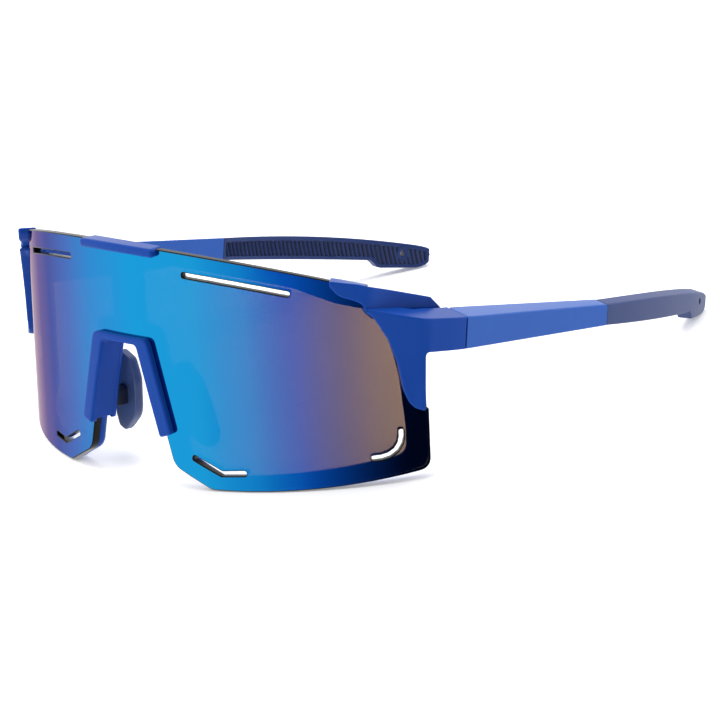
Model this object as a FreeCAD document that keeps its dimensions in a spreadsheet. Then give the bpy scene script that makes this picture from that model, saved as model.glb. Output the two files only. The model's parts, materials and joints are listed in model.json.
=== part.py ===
import FreeCAD, Part
import math
import os
import Sketcher

# Wraparound sport sunglasses, in millimetres.
# +Z is up and the lens faces -Y.  The origin is on the resting surface, at the middle of the
# outer box.  "Left" is the wearer's left, which is +X.
#
# Most of the front follows the lens.  The lens's outer face is part of an upright cylinder that
# leans back a little, so its pieces are drawn in two wrapped coordinates: arc, the distance round
# the cylinder from the middle, and rise, the height above the lens's lowest corner.

Vector = FreeCAD.Vector
Flat = FreeCAD.Base.Vector2d

SIZES = (
    # the lens
    ("lens_radius", 87.8, "outer face of the lens"),
    ("lens_thickness", 2.1, "polycarbonate shield"),
    ("lens_height", 62.0, "lowest corner to the top edge at the middle"),
    ("lens_half_arc", 83.5, "from the middle to the side edge, round the curve"),
    ("lens_tilt", 5.73, "lean of the lens, top backwards"),
    ("lens_foot", 0.77, "height of the lens's reference point above the surface"),
    ("front_setback", 87.38, "from the origin forward to the lens's reference point"),
    ("brow_fall", 13.3, "drop of the top edge from the middle to the side"),
    ("chin_rise", 5.6, "climb of the bottom edge from its lowest corner to the side"),
    ("corner_arc", 26.2, "arc of the lowest corner, beside the nose"),
    ("side_corner_radius", 4.0, "lower outer corner of the lens"),
    ("vent_width", 1.3, "width of each vent slot"),
    ("vent_depth_from_brow", 5.5, "from the top edge down to the upper vent's middle"),
    ("notch_foot_arc", 15.3, "half width of the nose notch at its foot"),
    ("notch_foot_rise", 5.3, "height of the notch's foot"),
    ("notch_top_arc", 6.7, "half width of the nose notch at its top"),
    ("notch_top_rise", 37.7, "height of the notch's top"),
    # the front frame
    ("rim_thickness", 2.5, "rim behind the lens"),
    ("rim_inset", 0.5, "rim's edge inside the lens's edge"),
    ("post_half_width", 5.5, "half width of the middle post"),
    ("brow_bar", 4.3, "depth of the rim's top bar below the lens's top edge"),
    ("chin_bar", 3.3, "height of the rim's bottom bar above the lens's bottom edge"),
    ("side_bar", 5.8, "width of the rim's side bar"),
    ("clip_half_arc", 13.0, "half width of the brow clip"),
    ("clip_reach", 2.0, "how far the brow clip comes down over the lens"),
    ("clip_proud", 2.0, "how far the brow clip stands in front of the lens"),
    ("clamp_proud", 2.5, "how far the side clamp stands in front of the lens"),
    ("clamp_wall", 2.2, "wall of the clamp outside the lens's edge"),
    ("clamp_foot_rise", "=0.342*lens_height", "height of the side clamp's lower end"),
    ("lens_clearance", 0.1, "gap round the lens in its grooves"),
    # the hinges and the temples
    ("hinge_half_span", 68.9, "from the middle to each hinge axis"),
    ("hinge_setforward", 33.18, "from the origin forward to the hinge axes"),
    ("hinge_height", "=lens_foot + 0.5318*lens_height", "height of the hinge's middle"),
    ("temple_slope", 13.3, "fall of the temples towards their tips"),
    ("temple_outer", 5.7, "from the hinge axis out to the temple's outer face"),
    ("temple_width", 7.6, "temple's width at the hinge"),
    ("temple_height", 8.2, "temple's outer height at the hinge"),
    ("crown_slope", 0.22, "rise of the temple's top face towards the head, per width"),
    ("ridge_rear_height", 8.4, "height of the ridge's rear end above the hinge's middle"),
    ("ridge_climb", 0.165, "climb of the ridge's top towards the front, per length"),
    ("ridge_setback", 6.0, "from the hinge axis forward to the ridge's rear end"),
    ("ridge_width", 2.2, "ridge above the hinge arm"),
    ("ridge_inboard", 3.0, "from the hinge axis in to the ridge's rear end"),
    ("knuckle_radius", 2.1, "hinge knuckle on the front frame"),
    ("knuckle_height", 3.4, "hinge knuckle on the front frame"),
    ("hinge_clearance", 0.15, "gap round the knuckle in the temple's fork"),
    ("seam_gap", 0.3, "gap between the hinge arm and the temple"),
    ("screw_diameter", 1.4, "shank of the hinge screw"),
    ("screw_clearance", 0.05, "gap round the shank in the knuckle"),
    ("screw_head_diameter", 2.6, "head of the hinge screw"),
    ("screw_head_height", 0.9, "head of the hinge screw"),
    ("insert_diameter", 2.4, "threaded insert in the temple's upper fork"),
    ("insert_length", 1.6, "threaded insert in the temple's upper fork"),
    ("temple_length", 57.5, "from the seam to the rubber tip"),
    ("temple_end_width", 4.4, "temple's width at the rubber tip"),
    ("temple_end_height", 5.6, "temple's outer height at the rubber tip"),
    ("temple_toe_in", 1.7, "how far the outer face comes in along the temple"),
    ("temple_end_lift", 0.4, "rise of the temple's middle line towards the tip, in the hinge's frame"),
    ("tongue_length", 18.0, "tongue of the temple inside the rubber tip"),
    ("tongue_width", 1.4, "tongue of the temple inside the rubber tip"),
    ("tongue_height", 2.8, "tongue of the temple inside the rubber tip"),
    ("tongue_angle", 7.5, "inward angle of the tongue"),
    ("tip_length", 71.0, "rubber tip, along its curve"),
    ("tip_width", 4.2, "rubber tip"),
    ("tip_start_angle", 5.0, "inward angle of the tip at its front end"),
    ("tip_bend", 23.0, "inward turn of the tip over its length"),
    ("tip_fall", 4.0, "fall of the tip's top edge over its length"),
    ("tip_belly_fall", 1.6, "fall of the tip's bottom edge before the heel"),
    ("heel_depth", 2.4, "heel under the end of the tip"),
    ("strap_hole_diameter", 1.8, "hole for a neck strap"),
    ("strap_hole_setback", 8.6, "from the end of the tip to the strap hole"),
    # the nose piece
    ("bridge_proud", 2.0, "front flange of the nose bridge"),
    ("bridge_back", 1.4, "rear flange of the nose bridge"),
    ("bridge_leg_width", 3.7, "width of the bridge's legs"),
    ("bridge_foot_rise", 13.2, "height of the bridge's feet"),
    ("bridge_wall", 1.4, "wall of the bridge inside the notch"),
    ("pad_height", 23.0, "nose pad"),
    ("pad_width", 11.5, "nose pad"),
    ("pad_thickness", 3.0, "nose pad"),
    ("pad_half_span", 11.3, "from the middle to the pad's middle"),
    ("pad_setback", 14.1, "from the lens's reference point back to the pad's middle"),
    ("pad_rise", 18.0, "height of the pad's middle above the surface"),
    ("pad_splay", 18.0, "turn of the pad's face away from straight back"),
    ("pad_flare", 12.0, "outward lean of the pad's foot"),
    ("arm_width", 3.0, "arm that carries the nose pad, across"),
    ("arm_height", 5.0, "arm that carries the nose pad, upright"),
    ("arm_reach", 5.0, "from the pad's middle forward into the bridge"),
    ("arm_socket", 0.3, "how far the arm reaches past the pad's middle"),
)

document = FreeCAD.newDocument("sport_sunglasses")
sheet = document.addObject("Spreadsheet::Sheet", "Sizes")


def fill_sheet():
    for row, (alias, value, meaning) in enumerate(SIZES, start=1):
        sheet.set(f"A{row}", meaning)
        sheet.set(f"B{row}", str(value))
        sheet.setAlias(f"B{row}", alias)
    document.recompute()


def size(alias):
    return float(sheet.get(alias))


fill_sheet()
RADIUS = size("lens_radius")
LENS_BACK = RADIUS - size("lens_thickness")
RIM_FRONT = LENS_BACK - size("lens_clearance")
RIM_BACK = RIM_FRONT - size("rim_thickness")
HALF_ARC = size("lens_half_arc")
LENS_HEIGHT = size("lens_height")
GAP = size("lens_clearance")
SIDES = (("left", 1), ("right", -1))
SHOULDER_ARC = HALF_ARC - 11.3


# ---------------------------------------------------------------- wrapped outlines

def brow(arc, inset=0.0):
    """Height of the lens's top edge."""
    return LENS_HEIGHT - size("brow_fall") * (arc / HALF_ARC) ** 2 - inset


def chin(arc, inset=0.0):
    """Height of the lens's bottom edge, outside its lowest corner."""
    span = HALF_ARC - size("corner_arc")
    return size("chin_rise") * (max(arc - size("corner_arc"), 0.0) / span) ** 2 + inset


def shoulder(arc, inset=0.0):
    """Height under the hinge arm's top face, where the front ends at its sides."""
    share = (arc - SHOULDER_ARC) / (HALF_ARC - SHOULDER_ARC)
    return LENS_HEIGHT * (0.76 - 0.055 * share) - inset


def notch(rise, inset=0.0):
    """Half width of the nose notch at a height."""
    low, high = size("notch_foot_rise"), size("notch_top_rise")
    share = (rise - low) / (high - low)
    return size("notch_foot_arc") + share * (size("notch_top_arc") - size("notch_foot_arc")) + inset


def run(height, start, end, count=7):
    """A smooth stretch of outline that follows height(arc)."""
    arcs = [start + (end - start) * step / (count - 1) for step in range(count)]
    return [(arc, height(arc)) for arc in arcs]


def corner(arc, rise, radius=0.0):
    """One corner of an outline, with its rounding."""
    return (arc, rise, radius)


def mirrored(half):
    """A closed outline from its right half, which goes from the top middle to the bottom middle."""
    other = []
    for item in reversed(half):
        if isinstance(item, list):
            other.append([(-arc, rise) for arc, rise in reversed(item)])
        else:
            other.append((-item[0],) + item[1:])
    return half + other


def flipped(outline, sign):
    """The same outline on the wearer's left (sign 1) or right (sign -1)."""
    if sign > 0:
        return outline
    return mirrored(outline)[len(outline):]


def rounded(before, item, after):
    """Points of the arc that rounds a corner, or the corner itself."""
    arc, rise, radius = item
    if radius <= 0.0:
        return [(arc, rise)]
    back = Vector(before[0] - arc, before[1] - rise, 0).normalize()
    ahead = Vector(after[0] - arc, after[1] - rise, 0).normalize()
    half_angle = back.getAngle(ahead) / 2
    middle = (back + ahead).normalize()
    centre = Vector(arc, rise, 0) + middle * (radius / math.sin(half_angle))
    start = Vector(arc, rise, 0) + back * (radius / math.tan(half_angle)) - centre
    turn = math.pi - 2 * half_angle
    if start.cross(middle * -1).z < 0:
        turn = -turn
    steps = 6
    points = []
    for step in range(steps + 1):
        angle = turn * step / steps
        x = start.x * math.cos(angle) - start.y * math.sin(angle)
        y = start.x * math.sin(angle) + start.y * math.cos(angle)
        points.append((centre.x + x, centre.y + y))
    return points


def stretches(outline):
    """The outline as stretches of points: two points make a line, more make a smooth curve."""
    parts = []
    count = len(outline)
    for index, item in enumerate(outline):
        if isinstance(item, list):
            parts.append(item)
            continue
        before = outline[index - 1]
        before = before[-1] if isinstance(before, list) else before[:2]
        after = outline[(index + 1) % count]
        after = after[0] if isinstance(after, list) else after[:2]
        parts.append(rounded(before, item, after))
    joined = []
    for index, part in enumerate(parts):
        following = parts[(index + 1) % count][0]
        if len(part) > 1:
            joined.append(part)
        if math.dist(part[-1], following) > 1e-6:
            joined.append([part[-1], following])
    return joined


def wrapped_edges(outline, radius):
    """The outline's edges on the cylinder of that radius."""
    surface = Part.Cylinder()
    surface.Radius = radius
    surface.Center = Vector(0, RADIUS, 0)
    edges = []
    for points in stretches(outline):
        flats = [Flat(1.5 * math.pi + arc / RADIUS, rise) for arc, rise in points]
        if len(flats) == 2:
            curve = Part.Geom2d.Line2dSegment(flats[0], flats[1])
        else:
            curve = Part.Geom2d.BSplineCurve2d()
            curve.interpolate(flats)
        edges.append(curve.toShape(surface))
    return edges


def wrapped_plate(outline, inner, outer):
    """A plate between two radii whose edge follows the outline, square to the lens."""
    spare = 3.0
    low, high = -10.0, LENS_HEIGHT + 10.0
    wall = Part.makeShell([
        Part.makeRuledSurface(near, far)
        for near, far in zip(wrapped_edges(outline, inner - spare), wrapped_edges(outline, outer + spare))
    ])
    base = Vector(0, RADIUS, low)
    tube = Part.makeCylinder(outer, high - low, base).cut(Part.makeCylinder(inner, high - low, base))
    pieces = tube.generalFuse([wall])[0].Solids
    return min(pieces, key=lambda piece: piece.Volume)


def front_placement():
    """Where the wrapped coordinates lie in the model."""
    place = Vector(0, -size("front_setback"), size("lens_foot"))
    return FreeCAD.Placement(place, FreeCAD.Rotation(Vector(1, 0, 0), -size("lens_tilt")))


def hinge_placement(sign):
    """The hinge's own frame: Y runs back along the temple and Z is the hinge axis."""
    place = Vector(sign * size("hinge_half_span"), -size("hinge_setforward"), size("hinge_height"))
    return FreeCAD.Placement(place, FreeCAD.Rotation(Vector(1, 0, 0), -size("temple_slope")))


def wrapped_point(arc, rise, radius):
    """A point in the front's frame from its wrapped coordinates."""
    angle = arc / RADIUS
    return Vector(radius * math.sin(angle), RADIUS - radius * math.cos(angle), rise)


def add_shape(label, shape, placement):
    """A sub-part whose shape is worked out here from the sheet's sizes."""
    piece = document.addObject("Part::Feature", label)
    piece.Label = label
    piece.Shape = shape
    piece.Placement = placement
    return piece


# ---------------------------------------------------------------- the lens

def notch_items(inset):
    """The nose notch, from the lowest corner up to the middle."""
    foot, top = size("notch_foot_rise"), size("notch_top_rise")
    return [
        corner(size("corner_arc") + 0.3 * inset, inset, 3.0),
        corner(notch(foot) + 0.6 * inset, foot + 0.8 * inset, 5.0),
        corner(notch(top, inset), top + inset, 2.5),
    ]


def lens_outline():
    """The lens, with its edge stepped in where the clip and the clamps hide it."""
    clip = size("clip_half_arc") - 1.0
    clamp_start = 0.73 * HALF_ARC
    wall = size("clamp_wall")
    side = HALF_ARC - wall
    foot = size("clamp_foot_rise") - GAP
    return mirrored([
        corner(clip, brow(0) - 1.0, 0.3),
        corner(clip, brow(clip), 0.3),
        run(brow, clip + 1.5, clamp_start - 0.8),
        corner(clamp_start, brow(clamp_start), 0.3),
        corner(clamp_start + 0.8, brow(clamp_start, 1.3), 0.3),
        run(lambda arc: brow(arc, 1.7), clamp_start + 2.5, SHOULDER_ARC - 4.0, 3),
        corner(SHOULDER_ARC - 1.8, shoulder(SHOULDER_ARC - 1.8, 1.6), 1.5),
        corner(side, shoulder(side, 1.6), 2.0),
        corner(side, foot),
        corner(HALF_ARC, foot, 0.3),
        corner(HALF_ARC, chin(HALF_ARC), size("side_corner_radius")),
        run(chin, HALF_ARC - 6.0, size("corner_arc") + 4.0),
    ] + notch_items(0.0))


def strip(points, width):
    """The outline of a slot: a strip of even width along a few points, with round ends."""
    half = width / 2
    left, right = [], []
    for index, point in enumerate(points):
        before = points[max(index - 1, 0)]
        after = points[min(index + 1, len(points) - 1)]
        ahead = Vector(after[0] - before[0], after[1] - before[1], 0).normalize()
        left.append((point[0] - ahead.y * half, point[1] + ahead.x * half))
        right.append((point[0] + ahead.y * half, point[1] - ahead.x * half))
    loop = left + right[::-1]
    ends = {0, len(points) - 1, len(points), len(loop) - 1}
    return [corner(x, y, half * 0.9 if index in ends else half) for index, (x, y) in enumerate(loop)]


def vent_outlines():
    """The three vent slots of the left half."""
    depth = size("vent_depth_from_brow")
    start, end = 20.5, 49.5
    width = size("vent_width")
    upper = [(start, brow(start, depth)), (end, brow(end, depth))]
    inner = [(21.2, 8.2), (29.2, 4.5), (36.0, 5.0)]
    side = HALF_ARC - 7.3
    outer = [(side - 7.8, 9.0), (side - 3.2, 9.6), (side - 1.0, 11.3), (side, 13.6), (side, 16.2)]
    return [strip(points, width) for points in (upper, inner, outer)]


def make_lens():
    lens = wrapped_plate(lens_outline(), LENS_BACK, RADIUS)
    for outline in vent_outlines():
        for _, sign in SIDES:
            lens = lens.cut(wrapped_plate(flipped(outline, sign), LENS_BACK - 1.0, RADIUS + 1.0))
    return add_shape("shield_lens", lens, front_placement())


# ---------------------------------------------------------------- the front frame

def rim_outline():
    inset = size("rim_inset")
    side = HALF_ARC - inset
    return mirrored([
        run(lambda arc: brow(arc, inset), 0.0, SHOULDER_ARC - 2.5),
        corner(SHOULDER_ARC - 0.4, shoulder(SHOULDER_ARC - 0.4, 0.3), 0.5),
        corner(side, shoulder(side, 0.3), 1.0),
        corner(side, chin(side, inset), size("side_corner_radius")),
        run(lambda arc: chin(arc, inset), side - 6.0, size("corner_arc") + 4.0),
    ] + notch_items(0.1))


def window_outline():
    """The opening of the rim on the left half."""
    bar = size("brow_bar")
    low = size("chin_bar")
    post = size("post_half_width")
    side = HALF_ARC - size("side_bar")
    wrap = size("notch_top_rise")
    return [
        corner(post, brow(post, bar), 2.0),
        run(lambda arc: brow(arc, bar), post + 3.0, 0.6 * HALF_ARC),
        corner(0.73 * HALF_ARC, brow(0.73 * HALF_ARC, bar + 1.8), 12.0),
        corner(side - 5.2, brow(side, 4.2), 4.0),
        corner(side - 1.2, 0.47 * LENS_HEIGHT, 20.0),
        corner(side, 0.26 * LENS_HEIGHT, 6.0),
        corner(side, chin(side, low + 1.3), 4.0),
        run(lambda arc: chin(arc, low + 0.03 * (arc - 28.0)), side - 6.0, size("corner_arc") + 5.0),
        corner(size("corner_arc") + 2.0, low, 2.0),
        corner(notch(8.0) + 4.4, 8.0, 2.0),
        corner(notch(wrap) + 4.4, wrap + 3.0, 2.0),
        corner(post, wrap + 3.6, 2.0),
    ]


def clip_outline():
    """The brow clip at the top middle of the lens."""
    half = size("clip_half_arc")
    return mirrored([
        corner(half, brow(0) + 0.4, 1.0),
        corner(half, brow(0) - size("clip_reach"), 0.8),
    ])


def clamp_outline():
    """The side clamp on the left half; its rear part stays just under the hinge arm's top face."""
    start = 0.715 * HALF_ARC
    foot = size("clamp_foot_rise")
    lift = 0.5
    ridge_end = SHOULDER_ARC - 2.0
    return [
        corner(start, brow(start) + lift, 0.6),
        run(lambda arc: brow(arc) + lift + 0.08 * (arc - start), start + 2.0, ridge_end, 3),
        corner(SHOULDER_ARC, shoulder(SHOULDER_ARC), 0.3),
        corner(HALF_ARC, shoulder(HALF_ARC), 0.3),
        corner(HALF_ARC, foot, 0.3),
        corner(HALF_ARC - 1.0, foot, 0.3),
        corner(HALF_ARC - 5.6, foot + 3.2, 2.5),
        corner(HALF_ARC - 7.0, 0.56 * LENS_HEIGHT, 20.0),
        corner(HALF_ARC - 9.4, 0.73 * LENS_HEIGHT, 12.0),
        corner(HALF_ARC - 20.6, 0.832 * LENS_HEIGHT, 6.0),
        corner(start + 0.2, 0.87 * LENS_HEIGHT, 1.2),
    ]


def lens_groove():
    """The room that the lens's hidden edges take in the clip and the clamps."""
    clip = size("clip_half_arc") - 1.0 + GAP
    side = HALF_ARC - size("clamp_wall") + GAP
    start = 0.73 * HALF_ARC
    foot = size("clamp_foot_rise")
    outline = mirrored([
        corner(clip, brow(0) - 1.0 + GAP),
        corner(clip, brow(clip) + 3.0),
        corner(start + GAP, brow(start) + 3.0),
        corner(start + GAP, brow(start) + GAP, 0.0),
        corner(start + 0.8 + GAP, brow(start, 1.3 - GAP)),
        run(lambda arc: brow(arc, 1.7 - GAP), start + 2.5, SHOULDER_ARC - 4.0, 3),
        corner(SHOULDER_ARC - 1.8 + GAP, shoulder(SHOULDER_ARC - 1.8, 1.6 - GAP), 1.0),
        corner(side, shoulder(side, 1.6 - GAP), 1.5),
        corner(side, foot),
        corner(HALF_ARC + 4.0, foot),
        corner(HALF_ARC + 4.0, 2.0),
    ])
    return wrapped_plate(outline, LENS_BACK - GAP, RADIUS + GAP)


def hinge_arm(sign):
    """The arm from the side clamp back to the seam, in the hinge's frame, with its knuckle."""
    to_hinge = hinge_placement(1).inverse().multiply(front_placement())
    level = 0.66 * LENS_HEIGHT

    def spot(arc, radius):
        point = to_hinge.multVec(wrapped_point(arc, level, radius))
        return Vector(point.x, point.y, 0)

    outer_radius = RADIUS + size("clamp_proud") - 0.05
    seam = -(size("knuckle_radius") + size("hinge_clearance"))
    outer_end = Vector(size("temple_outer"), seam, 0)
    inner_end = Vector(size("temple_outer") - size("temple_width"), seam, 0)
    heel = Vector(-size("ridge_inboard") - size("ridge_width"), seam - 0.8, 0)
    outer = Part.BSplineCurve()
    outer.interpolate([
        spot(HALF_ARC - 12.0, outer_radius),
        spot(HALF_ARC - 7.0, outer_radius),
        spot(HALF_ARC - 2.0, outer_radius),
        (spot(HALF_ARC + 3.0, outer_radius) + Vector(0.0, -0.3, 0)),
        outer_end - Vector(0.15, 4.0, 0),
        outer_end,
    ])
    inner = [
        outer_end,
        inner_end,
        heel,
        spot(HALF_ARC - 2.0, RIM_BACK + 0.1),
        spot(HALF_ARC - 8.0, RIM_BACK + 0.1),
        spot(HALF_ARC - 12.0, outer_radius),
    ]
    plan = Part.Face(Part.Wire([outer.toShape()] + Part.makePolygon(inner).Edges))
    reach = 14.0
    plan.translate(Vector(0, 0, -reach))
    block = plan.extrude(Vector(0, 0, 2 * reach))
    half = size("temple_height") / 2
    rise = size("crown_slope")
    edge = size("temple_outer")
    section = Part.makePolygon([
        Vector(edge + 5, -60, -half),
        Vector(edge + 5, -60, half - 5 * rise),
        Vector(edge - 40, -60, half + 40 * rise),
        Vector(edge - 40, -60, -half),
        Vector(edge + 5, -60, -half),
    ])
    arm = block.common(Part.Face(section).extrude(Vector(0, 80, 0)))
    arm = arm.fuse([hinge_knuckle(seam), hinge_ridge(spot)])
    if sign < 0:
        arm = arm.mirror(Vector(0, 0, 0), Vector(1, 0, 0))
    return arm.transformGeometry(hinge_placement(sign).toMatrix())


def hinge_ridge(spot):
    """The ridge along the inner edge of the hinge arm, with a slanted rear end."""
    setback = size("ridge_setback")
    rear = Vector(-size("ridge_inboard"), 3.2 - setback, 0)
    rear_inner = rear + Vector(-size("ridge_width"), -0.3, 0)
    front = spot(HALF_ARC - 16.0, RADIUS + size("clamp_proud") - 0.1)
    front_inner = spot(HALF_ARC - 16.0, RIM_BACK + 0.1)
    plan = Part.makePolygon([front, rear, rear_inner, front_inner, front])
    low, length = -2.0, 80.0
    block = Part.Face(plan)
    block.translate(Vector(0, 0, low))
    block = block.extrude(Vector(0, 0, length))
    top = size("ridge_rear_height")
    side = Part.makePolygon([
        Vector(-length, -setback, top),
        Vector(-length, -setback + 4.2, top - 3.2),
        Vector(-length, -setback + 4.2, low),
        Vector(-length, -length, low),
        Vector(-length, -length, top + size("ridge_climb") * (length - setback)),
        Vector(-length, -setback, top),
    ])
    return block.common(Part.Face(side).extrude(Vector(2 * length, 0, 0)))


def hinge_knuckle(seam):
    """The eye that the hinge screw passes through."""
    radius = size("knuckle_radius")
    tall = size("knuckle_height")
    low = Vector(0, 0, -tall / 2)
    eye = Part.makeCylinder(radius, tall, low)
    web = Part.makeBox(radius, -seam + 1.0, tall, Vector(0, seam - 1.0, -tall / 2))
    web_in = Part.makeBox(size("temple_width") - size("temple_outer"), -seam + 1.0, tall,
                          Vector(size("temple_outer") - size("temple_width"), seam - 1.0, -tall / 2))
    bore = Part.makeCylinder(size("screw_diameter") / 2 + size("screw_clearance"), tall, low)
    return eye.fuse([web, web_in]).cut(bore)


def make_front_frame():
    rim = wrapped_plate(rim_outline(), RIM_BACK, RIM_FRONT)
    for _, sign in SIDES:
        rim = rim.cut(wrapped_plate(flipped(window_outline(), sign), RIM_BACK - 1.0, RIM_FRONT + 1.0))
    clip = wrapped_plate(clip_outline(), RIM_BACK, RADIUS + size("clip_proud"))
    clamps = [
        wrapped_plate(flipped(clamp_outline(), sign), RIM_BACK, RADIUS + size("clamp_proud"))
        for _, sign in SIDES
    ]
    shell = rim.fuse([clip] + clamps)
    to_front = front_placement().inverse().toMatrix()
    arms = [hinge_arm(sign).transformGeometry(to_front) for _, sign in SIDES]
    frame = shell.fuse(arms).cut(lens_groove())
    return add_shape("front_frame", frame, front_placement())


# ---------------------------------------------------------------- the nose piece

def bridge_inner(rise):
    """Half width of the bridge's opening at a height."""
    return notch(rise) - size("bridge_wall") * 0.5 - 0.5 * (rise / size("notch_top_rise"))


def bridge_outline(leg):
    """The inverted U of a flange, with legs of that width."""
    top = size("notch_top_rise") - size("bridge_wall")
    foot = size("bridge_foot_rise")
    return mirrored([
        corner(bridge_inner(top) + leg, top + size("bridge_wall") + 0.4, 1.8),
        corner(bridge_inner(foot) + leg, foot + 0.8, 0.8),
        corner(bridge_inner(foot - 0.4), foot - 0.4, 0.8),
        corner(bridge_inner(top), top, 1.5),
    ])


def bridge_wall_outline():
    top = size("notch_top_rise") - size("bridge_wall")
    foot = size("bridge_foot_rise") + 0.6
    return mirrored([
        corner(notch(top + 1.2) - GAP, size("notch_top_rise") - GAP, 2.4),
        corner(notch(foot) - GAP, foot),
        corner(bridge_inner(foot), foot),
        corner(bridge_inner(top), top, 1.5),
    ])


def make_nose_bridge():
    back = RIM_BACK - GAP - size("bridge_back")
    front = RADIUS + size("bridge_proud")
    face = wrapped_plate(bridge_outline(size("bridge_leg_width")), RADIUS + GAP, front)
    wall = wrapped_plate(bridge_wall_outline(), back, front - 0.5)
    rear = wrapped_plate(bridge_outline(size("bridge_leg_width") - 1.2), back, RIM_BACK - GAP)
    bridge = face.fuse([wall, rear])
    to_front = front_placement().inverse().toMatrix()
    for _, sign in SIDES:
        bridge = bridge.cut(arm_block(sign).transformGeometry(to_front))
    return add_shape("nose_bridge", bridge, front_placement())


def arm_block(sign):
    """The room of one pad arm, in the model."""
    wide, tall, reach = size("arm_width"), size("arm_height"), size("arm_reach")
    block = Part.makeBox(wide, reach, tall, Vector(-wide / 2, -reach, -tall / 2))
    return block.transformGeometry(pad_placement(sign).toMatrix())


def pad_placement(sign):
    setback = size("pad_setback") - size("front_setback")
    place = Vector(sign * size("pad_half_span"), setback, size("pad_rise"))
    splay = FreeCAD.Rotation(Vector(0, 0, 1), sign * size("pad_splay"))
    flare = FreeCAD.Rotation(Vector(0, 1, 0), -sign * size("pad_flare"))
    return FreeCAD.Placement(place, splay.multiply(flare))


def primitive(body, kind, name, sizes, at=("0", "0", "0"), rotation=None):
    """One feature of a body whose sizes and place are bound to the sheet."""
    feature = body.newObject("PartDesign::" + kind, name)
    for key, expression in sizes.items():
        feature.setExpression(key, expression)
    if rotation is not None:
        feature.Placement = FreeCAD.Placement(Vector(0, 0, 0), rotation)
    for axis, expression in zip("xyz", at):
        feature.setExpression("Placement.Base." + axis, expression)
    return feature


def new_body(label, placement):
    body = document.addObject("PartDesign::Body", label)
    body.Label = label
    body.Placement = placement
    return body


def origin_plane(body, role):
    return next(item for item in body.Origin.OriginFeatures if item.Role == role)


def bound_outline(body, name, role, corners, offset):
    """A closed sketch whose corners are bound to the sheet, on a plane of the body's origin."""
    sketch = body.newObject("Sketcher::SketchObject", name)
    sketch.AttachmentSupport = [(origin_plane(body, role), "")]
    sketch.MapMode = "FlatFace"
    sketch.AttachmentOffset = offset
    spots = []
    for pair in corners:
        spots.append(Vector(*[float(sketch.evalExpression(term)) for term in pair], 0))
    count = len(spots)
    for index in range(count):
        sketch.addGeometry(Part.LineSegment(spots[index], spots[(index + 1) % count]), False)
    for index in range(count):
        sketch.addConstraint(Sketcher.Constraint("Coincident", index, 2, (index + 1) % count, 1))
    for index, pair in enumerate(corners):
        for kind, term, value in zip(("DistanceX", "DistanceY"), pair, spots[index]):
            number = sketch.addConstraint(Sketcher.Constraint(kind, -1, 1, index, 1, value))
            sketch.setExpression(f"Constraints[{number}]", term)
    return sketch


def lengthwise(y, x="0", turn=0.0):
    """Offset of a section plane on XZ_Plane, at a distance back and turned inwards."""
    across = float(sheet.evalExpression(x))
    return FreeCAD.Placement(Vector(across, 0, -y), FreeCAD.Rotation(Vector(0, 1, 0), turn))


def make_nose_pad(side, sign):
    """A soft oval pad with a blind socket for its arm."""
    body = new_body("nose_pad_" + side, pad_placement(sign))
    half_wide, half_tall = "Sizes.pad_width/2", "Sizes.pad_height/2"
    inner = f"({-sign})*"
    corners = [
        (f"{inner}{half_wide}*0.55", f"{half_tall}"),
        (f"{inner}{half_wide}", f"{half_tall}*0.45"),
        (f"{inner}{half_wide}", f"-{half_tall}*0.45"),
        (f"{inner}{half_wide}*0.45", f"-{half_tall}"),
        (f"-{inner}{half_wide}*0.35", f"-{half_tall}"),
        (f"-{inner}{half_wide}", f"-{half_tall}*0.6"),
        (f"-{inner}{half_wide}*0.8", f"{half_tall}*0.7"),
        (f"-{inner}{half_wide}*0.35", f"{half_tall}"),
    ]
    outline = bound_outline(body, "PadOutline_" + side, "XZ_Plane", corners, FreeCAD.Placement())
    pad = body.newObject("PartDesign::Pad", "PadCushion_" + side)
    pad.Profile = outline
    pad.Midplane = True
    pad.setExpression("Length", "Sizes.pad_thickness")
    document.recompute()
    upright = [
        f"Edge{number}" for number, edge in enumerate(pad.Shape.Edges, start=1)
        if abs(edge.BoundBox.YLength - size("pad_thickness")) < 1e-3 and edge.BoundBox.XLength < 1e-3
    ]
    corners_rounded = body.newObject("PartDesign::Fillet", "PadCorners_" + side)
    corners_rounded.Base = (pad, upright)
    corners_rounded.setExpression("Radius", "Sizes.pad_width*0.14")
    document.recompute()
    primitive(body, "SubtractiveBox", "PadSocket_" + side, {
        "Length": "Sizes.arm_width",
        "Width": "Sizes.pad_thickness/2 + Sizes.arm_socket",
        "Height": "Sizes.arm_height",
    }, ("-Sizes.arm_width/2", "-Sizes.pad_thickness/2", "-Sizes.arm_height/2"))
    return body


def make_nose_arm(side, sign):
    """The stiff arm between the bridge and a pad."""
    body = new_body("nose_arm_" + side, pad_placement(sign))
    primitive(body, "AdditiveBox", "ArmBar_" + side, {
        "Length": "Sizes.arm_width",
        "Width": "Sizes.arm_reach",
        "Height": "Sizes.arm_height",
    }, ("-Sizes.arm_width/2", "-Sizes.arm_reach", "-Sizes.arm_height/2"))
    return body


# ---------------------------------------------------------------- the temples

SEAM = "(Sizes.seam_gap - Sizes.knuckle_radius - Sizes.hinge_clearance)"
TEMPLE_END = f"({SEAM} + Sizes.temple_length)"
TONGUE_X = "(Sizes.temple_outer - Sizes.temple_toe_in - Sizes.temple_end_width/2)"
SLOT_HALF = "(Sizes.knuckle_height/2 + Sizes.hinge_clearance)"


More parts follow.
